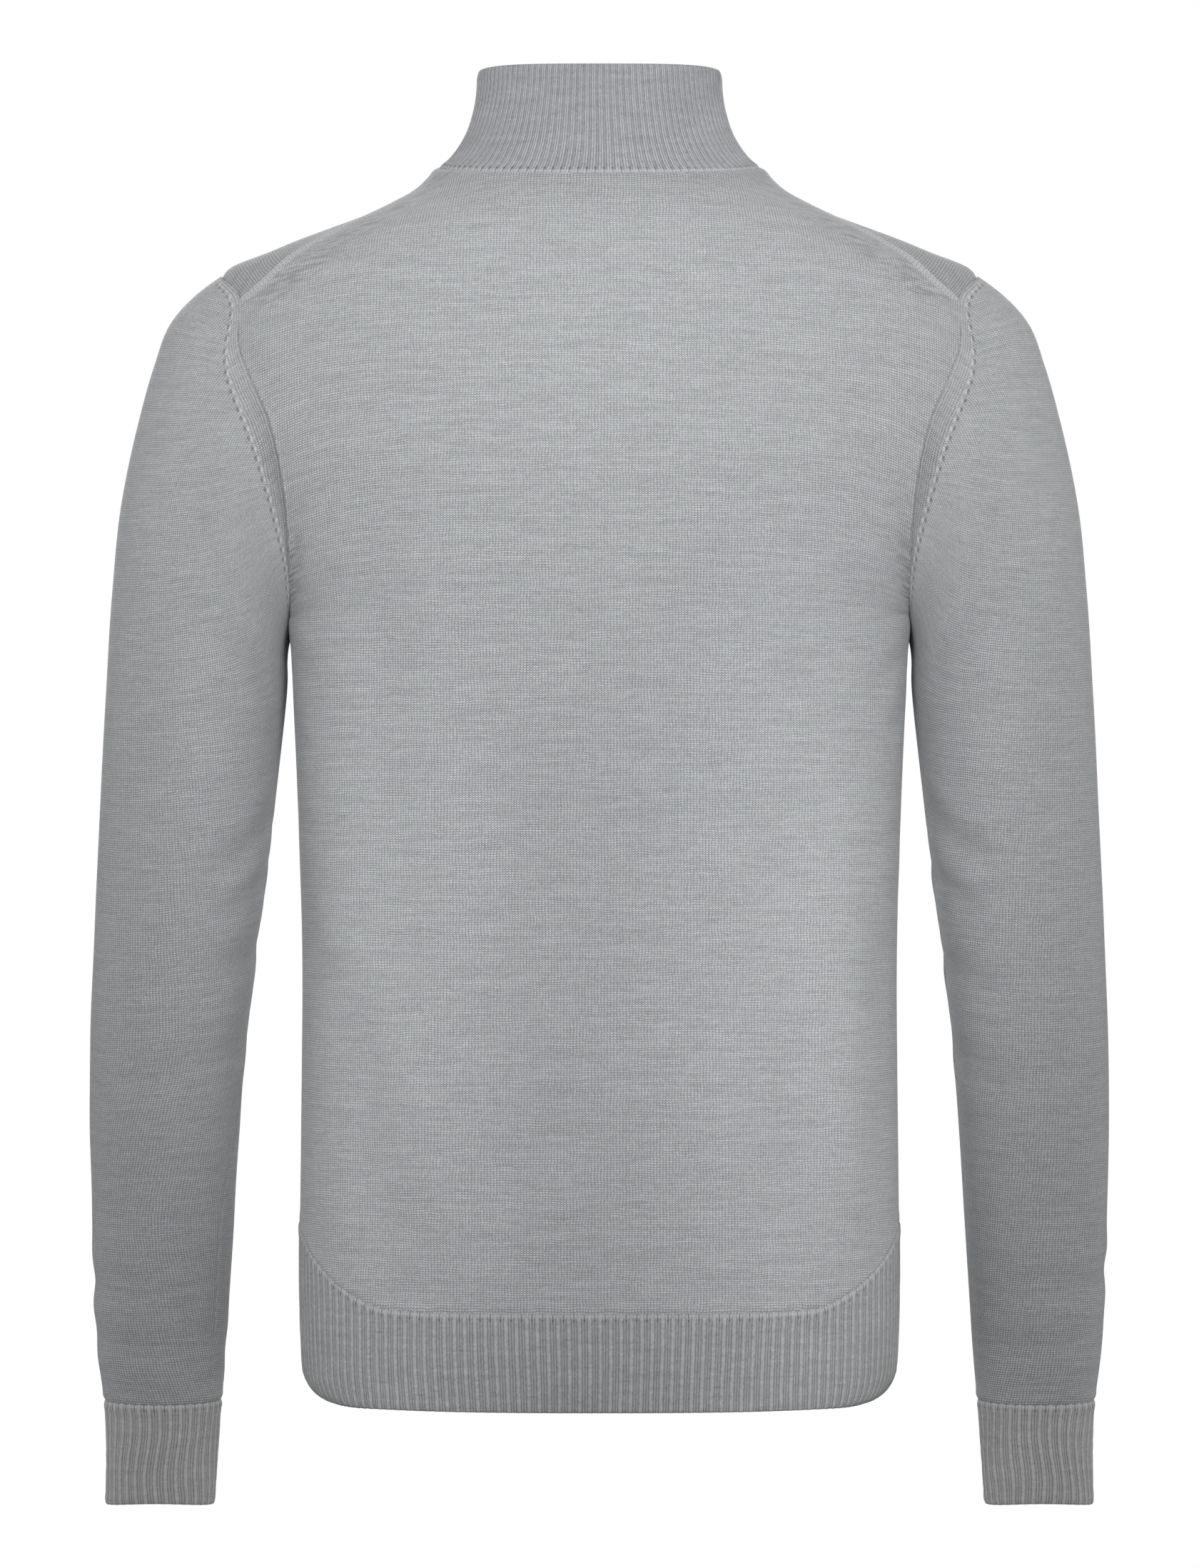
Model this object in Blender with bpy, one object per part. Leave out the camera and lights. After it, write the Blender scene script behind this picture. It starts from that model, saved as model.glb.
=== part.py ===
"""Half-zip sweater in fine-gauge wool, filled out as if worn, with nobody in it.

Frame: the origin lies midway between the two points where the shoulder seams
meet the collar, which is where the wearer carries the sweater. +Z is up, the
front faces -Y and the wearer's left is +X. Tables are in millimetres and
meshes in metres.

Every knitted piece is a wall with an outer skin, an inner skin and a rim. The
front and back lie on one body form, a stack of oval rings, and are cut from it
along the armholes, shoulder seams, side seams and neckline. Pieces that are
sewn together share the points of their seam.
"""

import math

import bmesh
import bpy
import numpy as np

MM = 0.001
SEAM_GAP = 0.4
JERSEY_WALL = 1.5
RIB_WALL = 2.2

# Body form: one row for each level, from just above the neck seam down.
# height, half width, depth to the back, depth to the front, squareness
BODY_RINGS = np.array([
    (10, 82.0, 55.5, 15.0, 2.00),
    (0, 92.0, 62.0, 28.0, 2.00),
    (-10, 101.6, 68.0, 39.5, 2.00),
    (-22, 124.4, 74.0, 54.5, 2.00),
    (-34, 155.8, 79.0, 67.0, 2.00),
    (-46, 185.8, 83.5, 74.5, 2.00),
    (-58, 210.6, 88.0, 81.5, 2.00),
    (-75, 216.0, 93.0, 90.0, 2.05),
    (-100, 217.0, 99.0, 101.0, 2.10),
    (-137, 214.0, 106.0, 114.0, 2.20),
    (-187, 199.0, 110.5, 123.5, 2.30),
    (-217, 188.0, 110.5, 126.0, 2.40),
    (-253, 173.5, 109.0, 127.0, 2.50),
    (-304, 169.8, 105.0, 125.0, 2.55),
    (-384, 166.6, 97.5, 119.0, 2.60),
    (-448, 165.0, 95.5, 116.0, 2.60),
    (-528, 165.6, 99.0, 114.5, 2.60),
    (-600, 166.4, 103.0, 114.0, 2.60),
    (-640, 166.0, 104.0, 113.0, 2.60),
    (-684, 164.0, 101.0, 109.0, 2.60),
])
# Armhole below the shoulder: height, half distance across the back, across the front
ARMHOLE = np.array([
    (-253, 173.5, 173.5),
    (-241, 171.0, 169.0),
    (-217, 170.0, 164.0),
    (-187, 172.0, 164.0),
    (-157, 177.0, 169.0),
    (-137, 183.0, 176.0),
    (-116, 193.0, 186.0),
    (-100, 198.5, 193.0),
    (-75, 198.7, 197.0),
])
ARMHOLE_TOP = -59.5
UNDERARM = -253.0
# Shoulder seam, from the neck out: half distance, how far behind the crest it is set
SHOULDER_SEAM = np.array([
    (104.0, 18.5),
    (120.0, 26.5),
    (134.0, 32.0),
    (149.0, 36.0),
    (158.0, 39.0),
    (166.0, 42.6),
    (174.0, 45.8),
    (182.0, 45.8),
    (190.0, 43.0),
])
NECK_POINT_DEPTH = 12.0
# Front neckline: height, half distance
NECKLINE = np.array([
    (-52.0, 0.0),
    (-49.0, 25.0),
    (-42.0, 48.0),
    (-32.0, 66.0),
    (-20.0, 80.0),
    (-8.0, 89.0),
    (0.0, 92.0),
])
BACK_NECK_DROP = 8.5
SLIT_HALF_WIDTH = 4.2
# Heights of the rows along the centre front, from the underarm row to the neckline
CENTRE_FRONT_ROWS = (-253, -232, -212, -204, -174, -144, -113, -82, -52)
SLIT_END_ROW = 3
NECKLINE_STEPS = 5

# Hem rib: its upper edge rises towards the side seams
HEM_BOTTOM = -684.0
HEM_TOP = -631.0
HEM_SIDE_RISE = 44.0
HEM_RISE_START = 0.49

BODY_ROWS = 10
BACK_COLUMNS = 9
FRONT_COLUMNS = 8
BACK_ARMHOLE_STEPS = 9
FRONT_ARMHOLE_STEPS = len(CENTRE_FRONT_ROWS) - 1 + NECKLINE_STEPS
CENTRE_BACK_AT_SHOULDER = -92.0

# Sleeve rings from armhole to cuff, as the outer and inner points of each:
# outer x, outer height, inner x, inner height, half depth, middle y
SLEEVE_RINGS = np.array([
    (214.0, -59.5, 173.5, -253.0, 72.0, -7.0),
    (229.0, -71.0, 173.9, -256.5, 71.0, -6.5),
    (241.5, -86.0, 174.2, -260.5, 70.0, -6.0),
    (250.0, -110.0, 174.6, -266.0, 69.0, -5.5),
    (259.0, -145.0, 175.0, -273.0, 68.0, -5.0),
    (267.0, -186.0, 176.0, -285.0, 66.5, -4.0),
    (272.0, -236.0, 178.0, -306.0, 64.5, -3.5),
    (275.5, -296.0, 182.0, -342.0, 61.5, -3.0),
    (278.4, -360.0, 187.4, -388.0, 57.5, -4.0),
    (281.6, -424.0, 193.6, -436.0, 53.0, -7.0),
    (284.8, -486.0, 199.8, -488.0, 49.0, -12.0),
    (286.0, -540.0, 204.2, -540.0, 45.5, -20.0),
    (285.6, -588.0, 207.6, -588.0, 42.0, -28.0),
    (285.0, -630.0, 210.6, -630.0, 39.0, -34.0),
    (283.4, -664.0, 213.0, -664.0, 36.5, -38.0),
    (279.9, -692.0, 215.6, -692.0, 33.0, -41.0),
])
SLEEVE_BLEND_RINGS = 6
CUFF_RINGS = np.array([
    (279.3, -692.0, 216.2, -692.0, 32.5, -41.0),
    (278.6, -712.0, 217.6, -712.0, 30.8, -43.5),
    (279.2, -751.3, 220.4, -751.3, 29.2, -46.5),
])

# Collar: oval top edge, and how far up each row stands
COLLAR_HALF_WIDTH = 68.2
COLLAR_BACK = 58.0
COLLAR_FRONT = 62.0
COLLAR_SIDE_TOP = 48.0
COLLAR_BACK_RISE = 4.3
COLLAR_FRONT_DROP = 26.0
COLLAR_TILT = 1.35
COLLAR_FLARE = 3.0
COLLAR_ROWS = (0.0, 0.12, 0.3, 0.6, 1.0)

# Zip
TAPE_INNER_EDGE = 1.5
TAPE_OUTER_EDGE = 12.0
TAPE_THICKNESS = 1.0
CHAIN_HALF_WIDTH = 1.2
CHAIN_THICKNESS = 2.0
SLIDER_LENGTH = 10.0
SLIDER_HALF_WIDTH = 3.8
SLIDER_PLATE = 1.1
SLIDER_GAP = 2.6
POST_LENGTH = 3.0
BRIDGE_HALF_LENGTH = 3.2
BRIDGE_HALF_WIDTH = 0.8
BRIDGE_ROOF = 0.9
PIN_ROOM = 1.9
PIN_SIZE = 0.9
TAB_LENGTH = 24.0
TAB_HALF_WIDTH = 3.2
TAB_WINDOW_HALF_WIDTH = 1.7
TAB_WINDOW = 5.0
STOP_LENGTH = 3.0


# ---------------------------------------------------------------- tables

def smooth_column(table, column, at):
    """Value of one column at a place in the first, on a curve with no overshoot."""
    rows = table[np.argsort(table[:, 0])]
    x = rows[:, 0]
    y = rows[:, column]
    step = np.diff(x)
    slope = np.diff(y) / step
    tangent = np.zeros(len(x))
    tangent[0] = slope[0]
    tangent[-1] = slope[-1]
    for i in range(1, len(x) - 1):
        if slope[i - 1] * slope[i] > 0:
            tangent[i] = 2 * slope[i - 1] * slope[i] / (slope[i - 1] + slope[i])
    at = min(max(at, x[0]), x[-1])
    i = min(int(np.searchsorted(x, at, side="right")) - 1, len(x) - 2)
    t = (at - x[i]) / step[i]
    return ((1 + 2 * t) * (1 - t) ** 2 * y[i]
            + t * (1 - t) ** 2 * step[i] * tangent[i]
            + t * t * (3 - 2 * t) * y[i + 1]
            + t * t * (t - 1) * step[i] * tangent[i + 1])


def smooth_step(value):
    value = min(max(value, 0.0), 1.0)
    return value * value * (3 - 2 * value)


# ------------------------------------------------------------- body form

def ring_sizes(height):
    return [smooth_column(BODY_RINGS, column, height) for column in (1, 2, 3, 4)]


def on_body(angle, height):
    """Point of the body form: angle 0 is the side, 90 degrees the back, -90 the front."""
    half_width, back, front, square = ring_sizes(height)
    depth = back if angle >= 0 else front
    across = max(math.cos(angle), 0.0) ** (2 / square)
    along = abs(math.sin(angle)) ** (2 / square)
    return np.array((half_width * across, math.copysign(depth * along, angle), height))


def body_normal(point):
    """Outward direction of the body form at a point on it."""
    def level(place):
        half_width, back, front, square = ring_sizes(place[2])
        depth = back if place[1] >= 0 else front
        return abs(place[0] / half_width) ** square + abs(place[1] / depth) ** square
    step = 0.05
    slope = np.zeros(3)
    for axis in range(3):
        move = np.zeros(3)
        move[axis] = step
        slope[axis] = level(point + move) - level(point - move)
    return slope / np.linalg.norm(slope)


def side_angle(half_distance, height, front=False):
    """Angle of the point of a ring that lies this far from the centre."""
    half_width, _, _, square = ring_sizes(height)
    cosine = min(half_distance / half_width, 1.0) ** (square / 2)
    angle = math.acos(cosine)
    return -angle if front else angle


RING_SAMPLES = 90


def quarter_lengths(height, side):
    """Angles from the centre back or front to the side, and the lengths run up to each."""
    angles = np.linspace(side * math.pi / 2, 0.0, RING_SAMPLES)
    points = np.array([on_body(a if a else side * 1e-9, height) for a in angles])
    steps = np.linalg.norm(np.diff(points, axis=0), axis=1)
    return angles, np.concatenate(([0.0], np.cumsum(steps)))


def share_to_angle(share, height, side):
    """Angle at a share of the quarter ring, from the centre (0) to the side (1)."""
    angles, lengths = quarter_lengths(height, side)
    return float(np.interp(share * lengths[-1], lengths, angles))


def angle_to_share(angle, height, side):
    angles, lengths = quarter_lengths(height, side)
    order = np.argsort(angles)
    return float(np.interp(angle, angles[order], lengths[order]) / lengths[-1])


def even_steps(curve, count):
    """Places (angle, height) along a curve, an equal length on the body apart."""
    points = np.array([on_body(a, h) for a, h in curve])
    steps = np.linalg.norm(np.diff(points, axis=0), axis=1)
    run = np.concatenate(([0.0], np.cumsum(steps)))
    marks = np.linspace(0.0, run[-1], count + 1)
    curve = np.array(curve)
    return np.stack([np.interp(marks, run, curve[:, k]) for k in (0, 1)], axis=1)


# ------------------------------------------------------- seams on the body

def armhole_side(column, front):
    heights = np.linspace(UNDERARM, ARMHOLE[-1][0], 80)
    return [(side_angle(smooth_column(ARMHOLE, column, h), h, front), h) for h in heights]


def armhole_crest(start, end):
    """Top of the armhole, from the front over the crest of the shoulder to the back."""
    curve = []
    for angle in np.linspace(start, end, 24):
        reach = start if angle < 0 else end
        curve.append((angle, ARMHOLE_TOP + (ARMHOLE[-1][0] - ARMHOLE_TOP) * (angle / reach) ** 2))
    return curve


def height_at(half_distance, depth):
    """Height of the shoulder this far from the centre and behind the crest."""
    low, high = ARMHOLE[-1][0] - 20, 0.0
    for _ in range(40):
        middle = (low + high) / 2
        half_width, back, _, square = ring_sizes(middle)
        reach = (half_distance / half_width) ** square + (depth / back) ** square
        low, high = (middle, high) if reach < 1 else (low, middle)
    return (low + high) / 2


def shoulder_curve(start, end):
    """Shoulder seam, from the end of the armhole in to the neck."""
    rows = np.vstack((end[:2], SHOULDER_SEAM, start[:2]))
    curve = []
    for half_distance in np.linspace(start[0], end[0], 60):
        depth = smooth_column(rows, 1, half_distance)
        height = height_at(half_distance, depth)
        curve.append((side_angle(half_distance, height), height))
    curve[0] = tuple(BACK_ARMHOLE[-1])
    curve[-1] = (NECK_POINT_ANGLE, 0.0)
    return curve


def neckline_curve():
    curve = []
    for height in np.linspace(NECKLINE[0][0], NECKLINE[-1][0], 60):
        half_distance = smooth_column(NECKLINE, 1, height)
        curve.append((side_angle(half_distance, height, front=True), height))
    return curve + [(NECK_POINT_ANGLE * share, 0.0) for share in (0.5, 1.0)]


NECK_POINT_ANGLE = math.asin(NECK_POINT_DEPTH / ring_sizes(0.0)[1])
BACK_ARMHOLE = even_steps(armhole_side(1, False), BACK_ARMHOLE_STEPS)
FRONT_ARM_CURVE = armhole_side(2, True)
FRONT_ARMHOLE = even_steps(
    FRONT_ARM_CURVE + armhole_crest(FRONT_ARM_CURVE[-1][0], BACK_ARMHOLE[-1][0])[1:],
    FRONT_ARMHOLE_STEPS)
SHOULDER = even_steps(
    shoulder_curve(on_body(*BACK_ARMHOLE[-1]), on_body(NECK_POINT_ANGLE, 0.0)), FRONT_COLUMNS)
FRONT_NECK = even_steps(neckline_curve(), NECKLINE_STEPS)


def hem_top(share):
    rise = smooth_step((share - HEM_RISE_START) / (1 - HEM_RISE_START))
    return HEM_TOP + HEM_SIDE_RISE * rise


# --------------------------------------------------------------- panels

def back_half():
    """Rows of places from hem rib to neck, each from the centre back to the edge."""
    shares = np.linspace(0.0, 1.0, BACK_COLUMNS + 1)
    rows = []
    for i in range(BODY_ROWS):
        up = i / BODY_ROWS
        heights = [hem_top(s) + (UNDERARM - hem_top(s)) * up for s in shares]
        rows.append([on_body(share_to_angle(s, h, 1), h) for s, h in zip(shares, heights)])
    edge = list(BACK_ARMHOLE) + list(SHOULDER[1:])
    rise_to_shoulder = np.linspace(UNDERARM, CENTRE_BACK_AT_SHOULDER, BACK_ARMHOLE_STEPS + 1)
    rise_to_neck = np.linspace(CENTRE_BACK_AT_SHOULDER, -BACK_NECK_DROP, FRONT_COLUMNS + 1)
    centre = list(rise_to_shoulder) + list(rise_to_neck[1:])
    for (angle, height), middle in zip(edge, centre):
        reach = angle_to_share(angle, height, 1)
        row = []
        for s in shares[:-1]:
            level = middle + (height - middle) * s * s
            row.append(on_body(share_to_angle(s * reach, level, 1), level))
        row.append(on_body(angle, height))
        rows.append(row)
    return np.array(rows)


def front_half():
    """Rows of places from hem rib to shoulder seam, each from centre front to the edge."""
    shares = np.linspace(0.0, 1.0, FRONT_COLUMNS + 1)
    rows = []
    for i in range(BODY_ROWS):
        up = i / BODY_ROWS
        heights = [hem_top(s) + (UNDERARM - hem_top(s)) * up for s in shares]
        rows.append([on_body(share_to_angle(s, h, -1), h) for s, h in zip(shares, heights)])
    inner = [(-math.pi / 2, h) for h in CENTRE_FRONT_ROWS] + list(FRONT_NECK[1:])
    inner = np.array(inner)
    outer = FRONT_ARMHOLE
    bottom = np.array([(share_to_angle(s, UNDERARM, -1), UNDERARM) for s in shares])
    top = SHOULDER[::-1]
    last = len(inner) - 1
    for i in range(last + 1):
        v = i / last
        row = []
        for j, u in enumerate(shares):
            place = ((1 - u) * inner[i] + u * outer[i] + (1 - v) * bottom[j] + v * top[j]
                     - (1 - u) * (1 - v) * bottom[0] - u * (1 - v) * bottom[-1]
                     - (1 - u) * v * top[0] - u * v * top[-1])
            row.append(on_body(place[0], place[1]))
        rows.append(row)
    rows = np.array(rows)
    neck_row = BODY_ROWS + len(CENTRE_FRONT_ROWS) - 1
    for i in range(BODY_ROWS + SLIT_END_ROW, neck_row + 1):
        rows[i, 0, 0] = SLIT_HALF_WIDTH
    return rows


def draw_in(points, normals, side, amount=SEAM_GAP / 2):
    """Moves one edge of a grid of points into its piece, square to the edge."""
    edge, inside = {
        "bottom": (np.s_[0, :], np.s_[1, :]),
        "top": (np.s_[-1, :], np.s_[-2, :]),
        "start": (np.s_[:, 0], np.s_[:, 1]),
        "end": (np.s_[:, -1], np.s_[:, -2]),
    }[side]
    line = points[edge].copy()
    along = np.gradient(line, axis=0)
    across = np.cross(normals[edge], along)
    across /= np.linalg.norm(across, axis=1)[:, None]
    facing = np.sign(np.sum(across * (points[inside] - line), axis=1))
    points[edge] = line + across * facing[:, None] * amount


def mirrored(half):
    """Whole rows from a half grid, from the wearer's right edge to the left one."""
    other = half[:, ::-1] * np.array((-1, 1, 1))
    return np.concatenate((other, half), axis=1)


def grid_normals(points, closed=False):
    """Directions square to a grid of points, from its neighbours."""
    if closed:
        along = np.roll(points, -1, axis=1) - np.roll(points, 1, axis=1)
    else:
        along = np.gradient(points, axis=1)
    up = np.gradient(points, axis=0)
    normals = np.cross(along, up)
    return normals / np.linalg.norm(normals, axis=2)[:, :, None]


# --------------------------------------------------------------- meshes

def plain_material(name, colour, roughness, metallic=0.0):
    material = bpy.data.materials.new(name)
    material.use_nodes = True
    shader = material.node_tree.nodes["Principled BSDF"]
    shader.inputs["Base Color"].default_value = (*colour, 1.0)
    shader.inputs["Roughness"].default_value = roughness
    shader.inputs["Metallic"].default_value = metallic
    return material


def add_object(name, bm, material):
    mesh = bpy.data.meshes.new(name)
    bm.to_mesh(mesh)
    bm.free()
    mesh.materials.append(material)
    item = bpy.data.objects.new(name, mesh)
    bpy.context.scene.collection.objects.link(item)
    return item


def wall(name, outer, inner, material, closed=False, skip_column=None, flip=False):
    """A wall between two grids of points, with a rim wherever the grid ends.

    closed joins the last column to the first. skip_column leaves one column of
    faces out, and points of it that coincide are joined, which makes a slit.
    """
    rows, columns = outer.shape[:2]
    bm = bmesh.new()
    skins = []
    for grid in (outer, inner):
        found = {}
        points = []
        for i in range(rows):
            line = []
            for j in range(columns):
                key = tuple(np.round(grid[i, j], 4))
                if key not in found:
                    found[key] = bm.verts.new(grid[i, j] * MM)
                line.append(found[key])
            points.append(line)
        skins.append(points)
    pairs = {}
    for i in range(rows):
        for j in range(columns):
            pairs[skins[0][i][j]] = skins[1][i][j]
    last = columns if closed else columns - 1
    faces = []
    for i in range(rows - 1):
        for j in range(last):
            if j == skip_column:
                continue
            k = (j + 1) % columns
            corner = [skins[0][i][j], skins[0][i][k], skins[0][i + 1][k], skins[0][i + 1][j]]
            if flip:
                corner.reverse()
            faces.append(bm.faces.new(corner))
    for face in faces:
        bm.faces.new([pairs[v] for v in reversed(face.verts)])
    rims = []
    for face in faces:
        for loop in face.loops:
            if len([f for f in loop.edge.link_faces if f in faces]) == 1:
                rims.append((loop.vert, loop.link_loop_next.vert))
    for a, b in rims:
        bm.faces.new((b, a, pairs[a], pairs[b]))
    loose = [v for v in bm.verts if not v.link_faces]
    bmesh.ops.delete(bm, geom=loose, context="VERTS")
    for face in bm.faces:
        face.smooth = True
    return add_object(name, bm, material)


# ------------------------------------------------------------ the sweater

def torso_panels(jersey):
    """Back and front, on the body form, a little apart along their seams."""
    edges = {}
    for name, half, trimmed in (("back_panel", back_half(), ("bottom", "top", "end")),
                                ("front_panel", front_half(), ("bottom", "top", "end"))):
        normals = np.array([[body_normal(p) for p in row] for row in half])
        edges[name] = (half.copy(), normals)
        for side in trimmed:
            draw_in(half, normals, side)
        if name == "front_panel":
            neck = BODY_ROWS + len(CENTRE_FRONT_ROWS) - 1
            neck_normals = normals[neck:]
            part = half[neck:]
            draw_in(part, neck_normals, "start")
            half[neck:] = part
        inside = half - normals * JERSEY_WALL
        inside[np.abs(half[:, :, 0]) < 1e-6, 0] = 0.0
        if name == "back_panel":
            outer = mirrored(half)
            inner = mirrored(inside)
            outer = np.delete(outer, BACK_COLUMNS, axis=1)
            inner = np.delete(inner, BACK_COLUMNS, axis=1)
            wall(name, outer, inner, jersey, flip=True)
        else:
            wall(name, mirrored(half), mirrored(inside), jersey, skip_column=FRONT_COLUMNS)
    return edges


def hem_ribs(edges, rib):
    """Welts below the panels, from the panels' own lower edges down to the hem."""
    for name, panel, flip in (("hem_rib_back", "back_panel", True),
                              ("hem_rib_front", "front_panel", False)):
        half, normals = edges[panel]
        top = half[0]
        side = 1 if flip else -1
        shares = np.linspace(0.0, 1.0, top.shape[0])
        low = np.array([on_body(share_to_angle(s, HEM_BOTTOM, side), HEM_BOTTOM)
                        for s in shares])
        rows = []
        for t in (0.0, 0.5, 1.0):
            row = []
            for a, b in zip(low, top):
                height = a[2] + (b[2] - a[2]) * t
                row.append(on_body(share_to_angle(shares[len(row)], height, side), height))
            rows.append(row)
        grid = np.array(rows)
        grid_n = np.array([[body_normal(p) for p in row] for row in grid])
        draw_in(grid, grid_n, "top")
        draw_in(grid, grid_n, "end")
        inside = grid - grid_n * RIB_WALL
        outer = np.delete(mirrored(grid), top.shape[0] - 1, axis=1)
        inner = np.delete(mirrored(inside), top.shape[0] - 1, axis=1)
        wall(name, outer, inner, rib, flip=flip)


def ring_frame(row):
    outer_x, outer_z, inner_x, inner_z, half_depth, middle_y = row
    centre = np.array(((outer_x + inner_x) / 2, middle_y, (outer_z + inner_z) / 2))
    reach = np.array(((outer_x - inner_x) / 2, 0.0, (outer_z - inner_z) / 2))
    depth = np.array((0.0, half_depth, 0.0))
    facing = np.cross(depth, reach)
    return centre, reach, depth, facing / np.linalg.norm(facing)


def sleeve_grid():
    """Rings of the wearer's left sleeve, from the armhole's own points to the cuff."""
    places = list(BACK_ARMHOLE) + list(FRONT_ARMHOLE[::-1][1:-1])
    loop = np.array([on_body(a, h) for a, h in places])
    steps = np.linalg.norm(np.diff(np.vstack((loop, loop[:1])), axis=0), axis=1)
    shares = np.concatenate(([0.0], np.cumsum(steps)[:-1])) / steps.sum()
    turns = math.pi * (1 - 2 * shares)
    centre, reach, depth, facing = ring_frame(SLEEVE_RINGS[0])
    start = np.stack((
        (loop - centre) @ reach / (reach @ reach),
        (loop - centre) @ depth / (depth @ depth),
        (loop - centre) @ facing,
    ), axis=1)
    plain = np.stack((np.cos(turns), np.sin(turns), np.zeros(len(turns))), axis=1)
    rings = []
    for k, row in enumerate(SLEEVE_RINGS):
        centre, reach, depth, facing = ring_frame(row)
        part = smooth_step(k / SLEEVE_BLEND_RINGS)
        mix = (1 - part) * start + part * plain
        rings.append(centre + mix[:, :1] * reach + mix[:, 1:2] * depth + mix[:, 2:] * facing)
    rings[0] = rings[0] + np.array((SEAM_GAP, 0.0, 0.0))
    return np.array(rings), plain


def sleeves(jersey, rib):
    grid, plain = sleeve_grid()
    normals = grid_normals(grid, closed=True)
    cuff_rows = []
    for row in CUFF_RINGS:
        centre, reach, depth, _ = ring_frame(row)
        cuff_rows.append(centre + plain[:, :1] * reach + plain[:, 1:2] * depth)
    cuff = np.array(cuff_rows)
    cuff[0, :, 2] -= SEAM_GAP
    cuff_normals = grid_normals(cuff, closed=True)
    for side, mirror in (("left", 1), ("right", -1)):
        turn = np.array((mirror, 1, 1))
        flip = mirror < 0
        for name, points, square, thick, material in (
                ("sleeve", grid, normals, JERSEY_WALL, jersey),
                ("cuff", cuff, cuff_normals, RIB_WALL, rib)):
            facing = np.sign(np.sum(square * (points - points.mean(axis=1, keepdims=True))))
            inside = points - square * facing * thick
            wall(f"{name}_{side}", points * turn, inside * turn, material, closed=True,
                 flip=(facing < 0) != flip)


def collar_grid(edges):
    """Rows of the collar from neck seam to top edge, from one zip edge round to the other."""
    back, back_normals = edges["back_panel"]
    front, front_normals = edges["front_panel"]
    neck_row = BODY_ROWS + len(CENTRE_FRONT_ROWS) - 1
    turn = np.array((-1, 1, 1))
    front_neck = front[neck_row:, 0]
    half = np.concatenate((front_neck, back[-1][::-1][1:]))
    half_normals = np.concatenate((front_normals[neck_row:, 0], back_normals[-1][::-1][1:]))
    centre_back = half[-1]
    seam = np.concatenate((half, half[:-1][::-1] * turn))
    seam_normals = np.concatenate((half_normals, half_normals[:-1][::-1] * turn))
    front_reach = -front_neck[0][1]
    tops = []
    for x, y, _ in seam:
        depth = COLLAR_BACK if y > 0 else COLLAR_FRONT
        sine = y / centre_back[1] if y > 0 else y / front_reach
        sine = min(max(sine, -1.0), 1.0)
        change = COLLAR_BACK_RISE if y > 0 else -COLLAR_FRONT_DROP
        tops.append((math.copysign(COLLAR_HALF_WIDTH * math.sqrt(1 - sine * sine), x),
                     depth * sine, COLLAR_SIDE_TOP + change * abs(sine) ** COLLAR_TILT))
    top = np.array(tops)
    for end in (0, -1):
        top[end, 0] = seam[end, 0]
    rows = []
    for up in COLLAR_ROWS:
        inward = (1 - math.exp(-COLLAR_FLARE * up)) / (1 - math.exp(-COLLAR_FLARE))
        row = seam + (top - seam) * inward
        row[:, 2] = seam[:, 2] + (top[:, 2] - seam[:, 2]) * up
        rows.append(row)
    return np.array(rows), seam_normals


def collar(edges, rib):
    grid, seam_normals = collar_grid(edges)
    normals = grid_normals(grid)
    draw_in(grid, normals, "bottom", SEAM_GAP)
    middle = grid.mean(axis=(0, 1))
    facing = np.sign(np.sum(normals * (grid - middle)))
    normals *= facing
    normals[0] = seam_normals
    wall("collar", grid, grid - normals * RIB_WALL, rib, flip=facing < 0)
    return grid


# -------------------------------------------------------------------- zip

def zip_line(edges, grid):
    """Points down the centre front, each with the outward direction and the wall there.

    They are the slit's own edge points of the collar and the front panel.
    """
    half, _ = edges["front_panel"]
    neck = BODY_ROWS + len(CENTRE_FRONT_ROWS) - 1
    below_slit = BODY_ROWS + SLIT_END_ROW - 1
    line = []
    for row in range(len(COLLAR_ROWS) - 1, 0, -1):
        line.append((grid[row, 0], grid[row, 1], RIB_WALL))
    line.append((half[neck, 0], half[neck, 1], RIB_WALL + 2 * SEAM_GAP))
    for row in range(neck - 1, below_slit - 1, -1):
        line.append((half[row, 0], half[row, 1], JERSEY_WALL))
    return line


def strip(line, start, end, low, high):
    """Corner rings of a strip between two distances from the centre and two depths."""
    places = []
    for edge, beyond, thick in line:
        slope = (beyond - edge) / (beyond[0] - edge[0])
        places.append([edge + slope * (x - edge[0]) for x in (start, end)])
    places = np.array(places)
    if start < 0:
        places[:, 0] = places[:, 1] * np.array((-1, 1, 1))
    along = np.gradient(places.mean(axis=1), axis=0)
    inward = np.cross(along, np.array((1.0, 0.0, 0.0)))
    inward /= np.linalg.norm(inward, axis=1)[:, None]
    inward *= np.sign(inward[:, 1])[:, None]
    behind = np.array([thick for _, _, thick in line]) + SEAM_GAP
    outer = places + inward[:, None, :] * (behind + low)[:, None, None]
    inner = places + inward[:, None, :] * (behind + high)[:, None, None]
    return outer, inner


def box(bm, x, y, z):
    """A block between pairs of limits, in millimetres."""
    made = bmesh.ops.create_cube(bm, size=1.0)["verts"]
    for vert in made:
        for axis, (low, high) in enumerate((x, y, z)):
            vert.co[axis] = (low if vert.co[axis] < 0 else high) * MM
    return made


def joined(name, blocks, material):
    """One solid from overlapping blocks, by Boolean unions."""
    items = []
    for k, limits in enumerate(blocks):
        bm = bmesh.new()
        box(bm, *limits)
        items.append(add_object(f"{name}_{k}", bm, material))
    base = items[0]
    base.name = name
    for other in items[1:]:
        union = base.modifiers.new("union", "BOOLEAN")
        union.operation = "UNION"
        union.object = other
        other.hide_render = True
        other.display_type = "WIRE"
    return base


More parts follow.
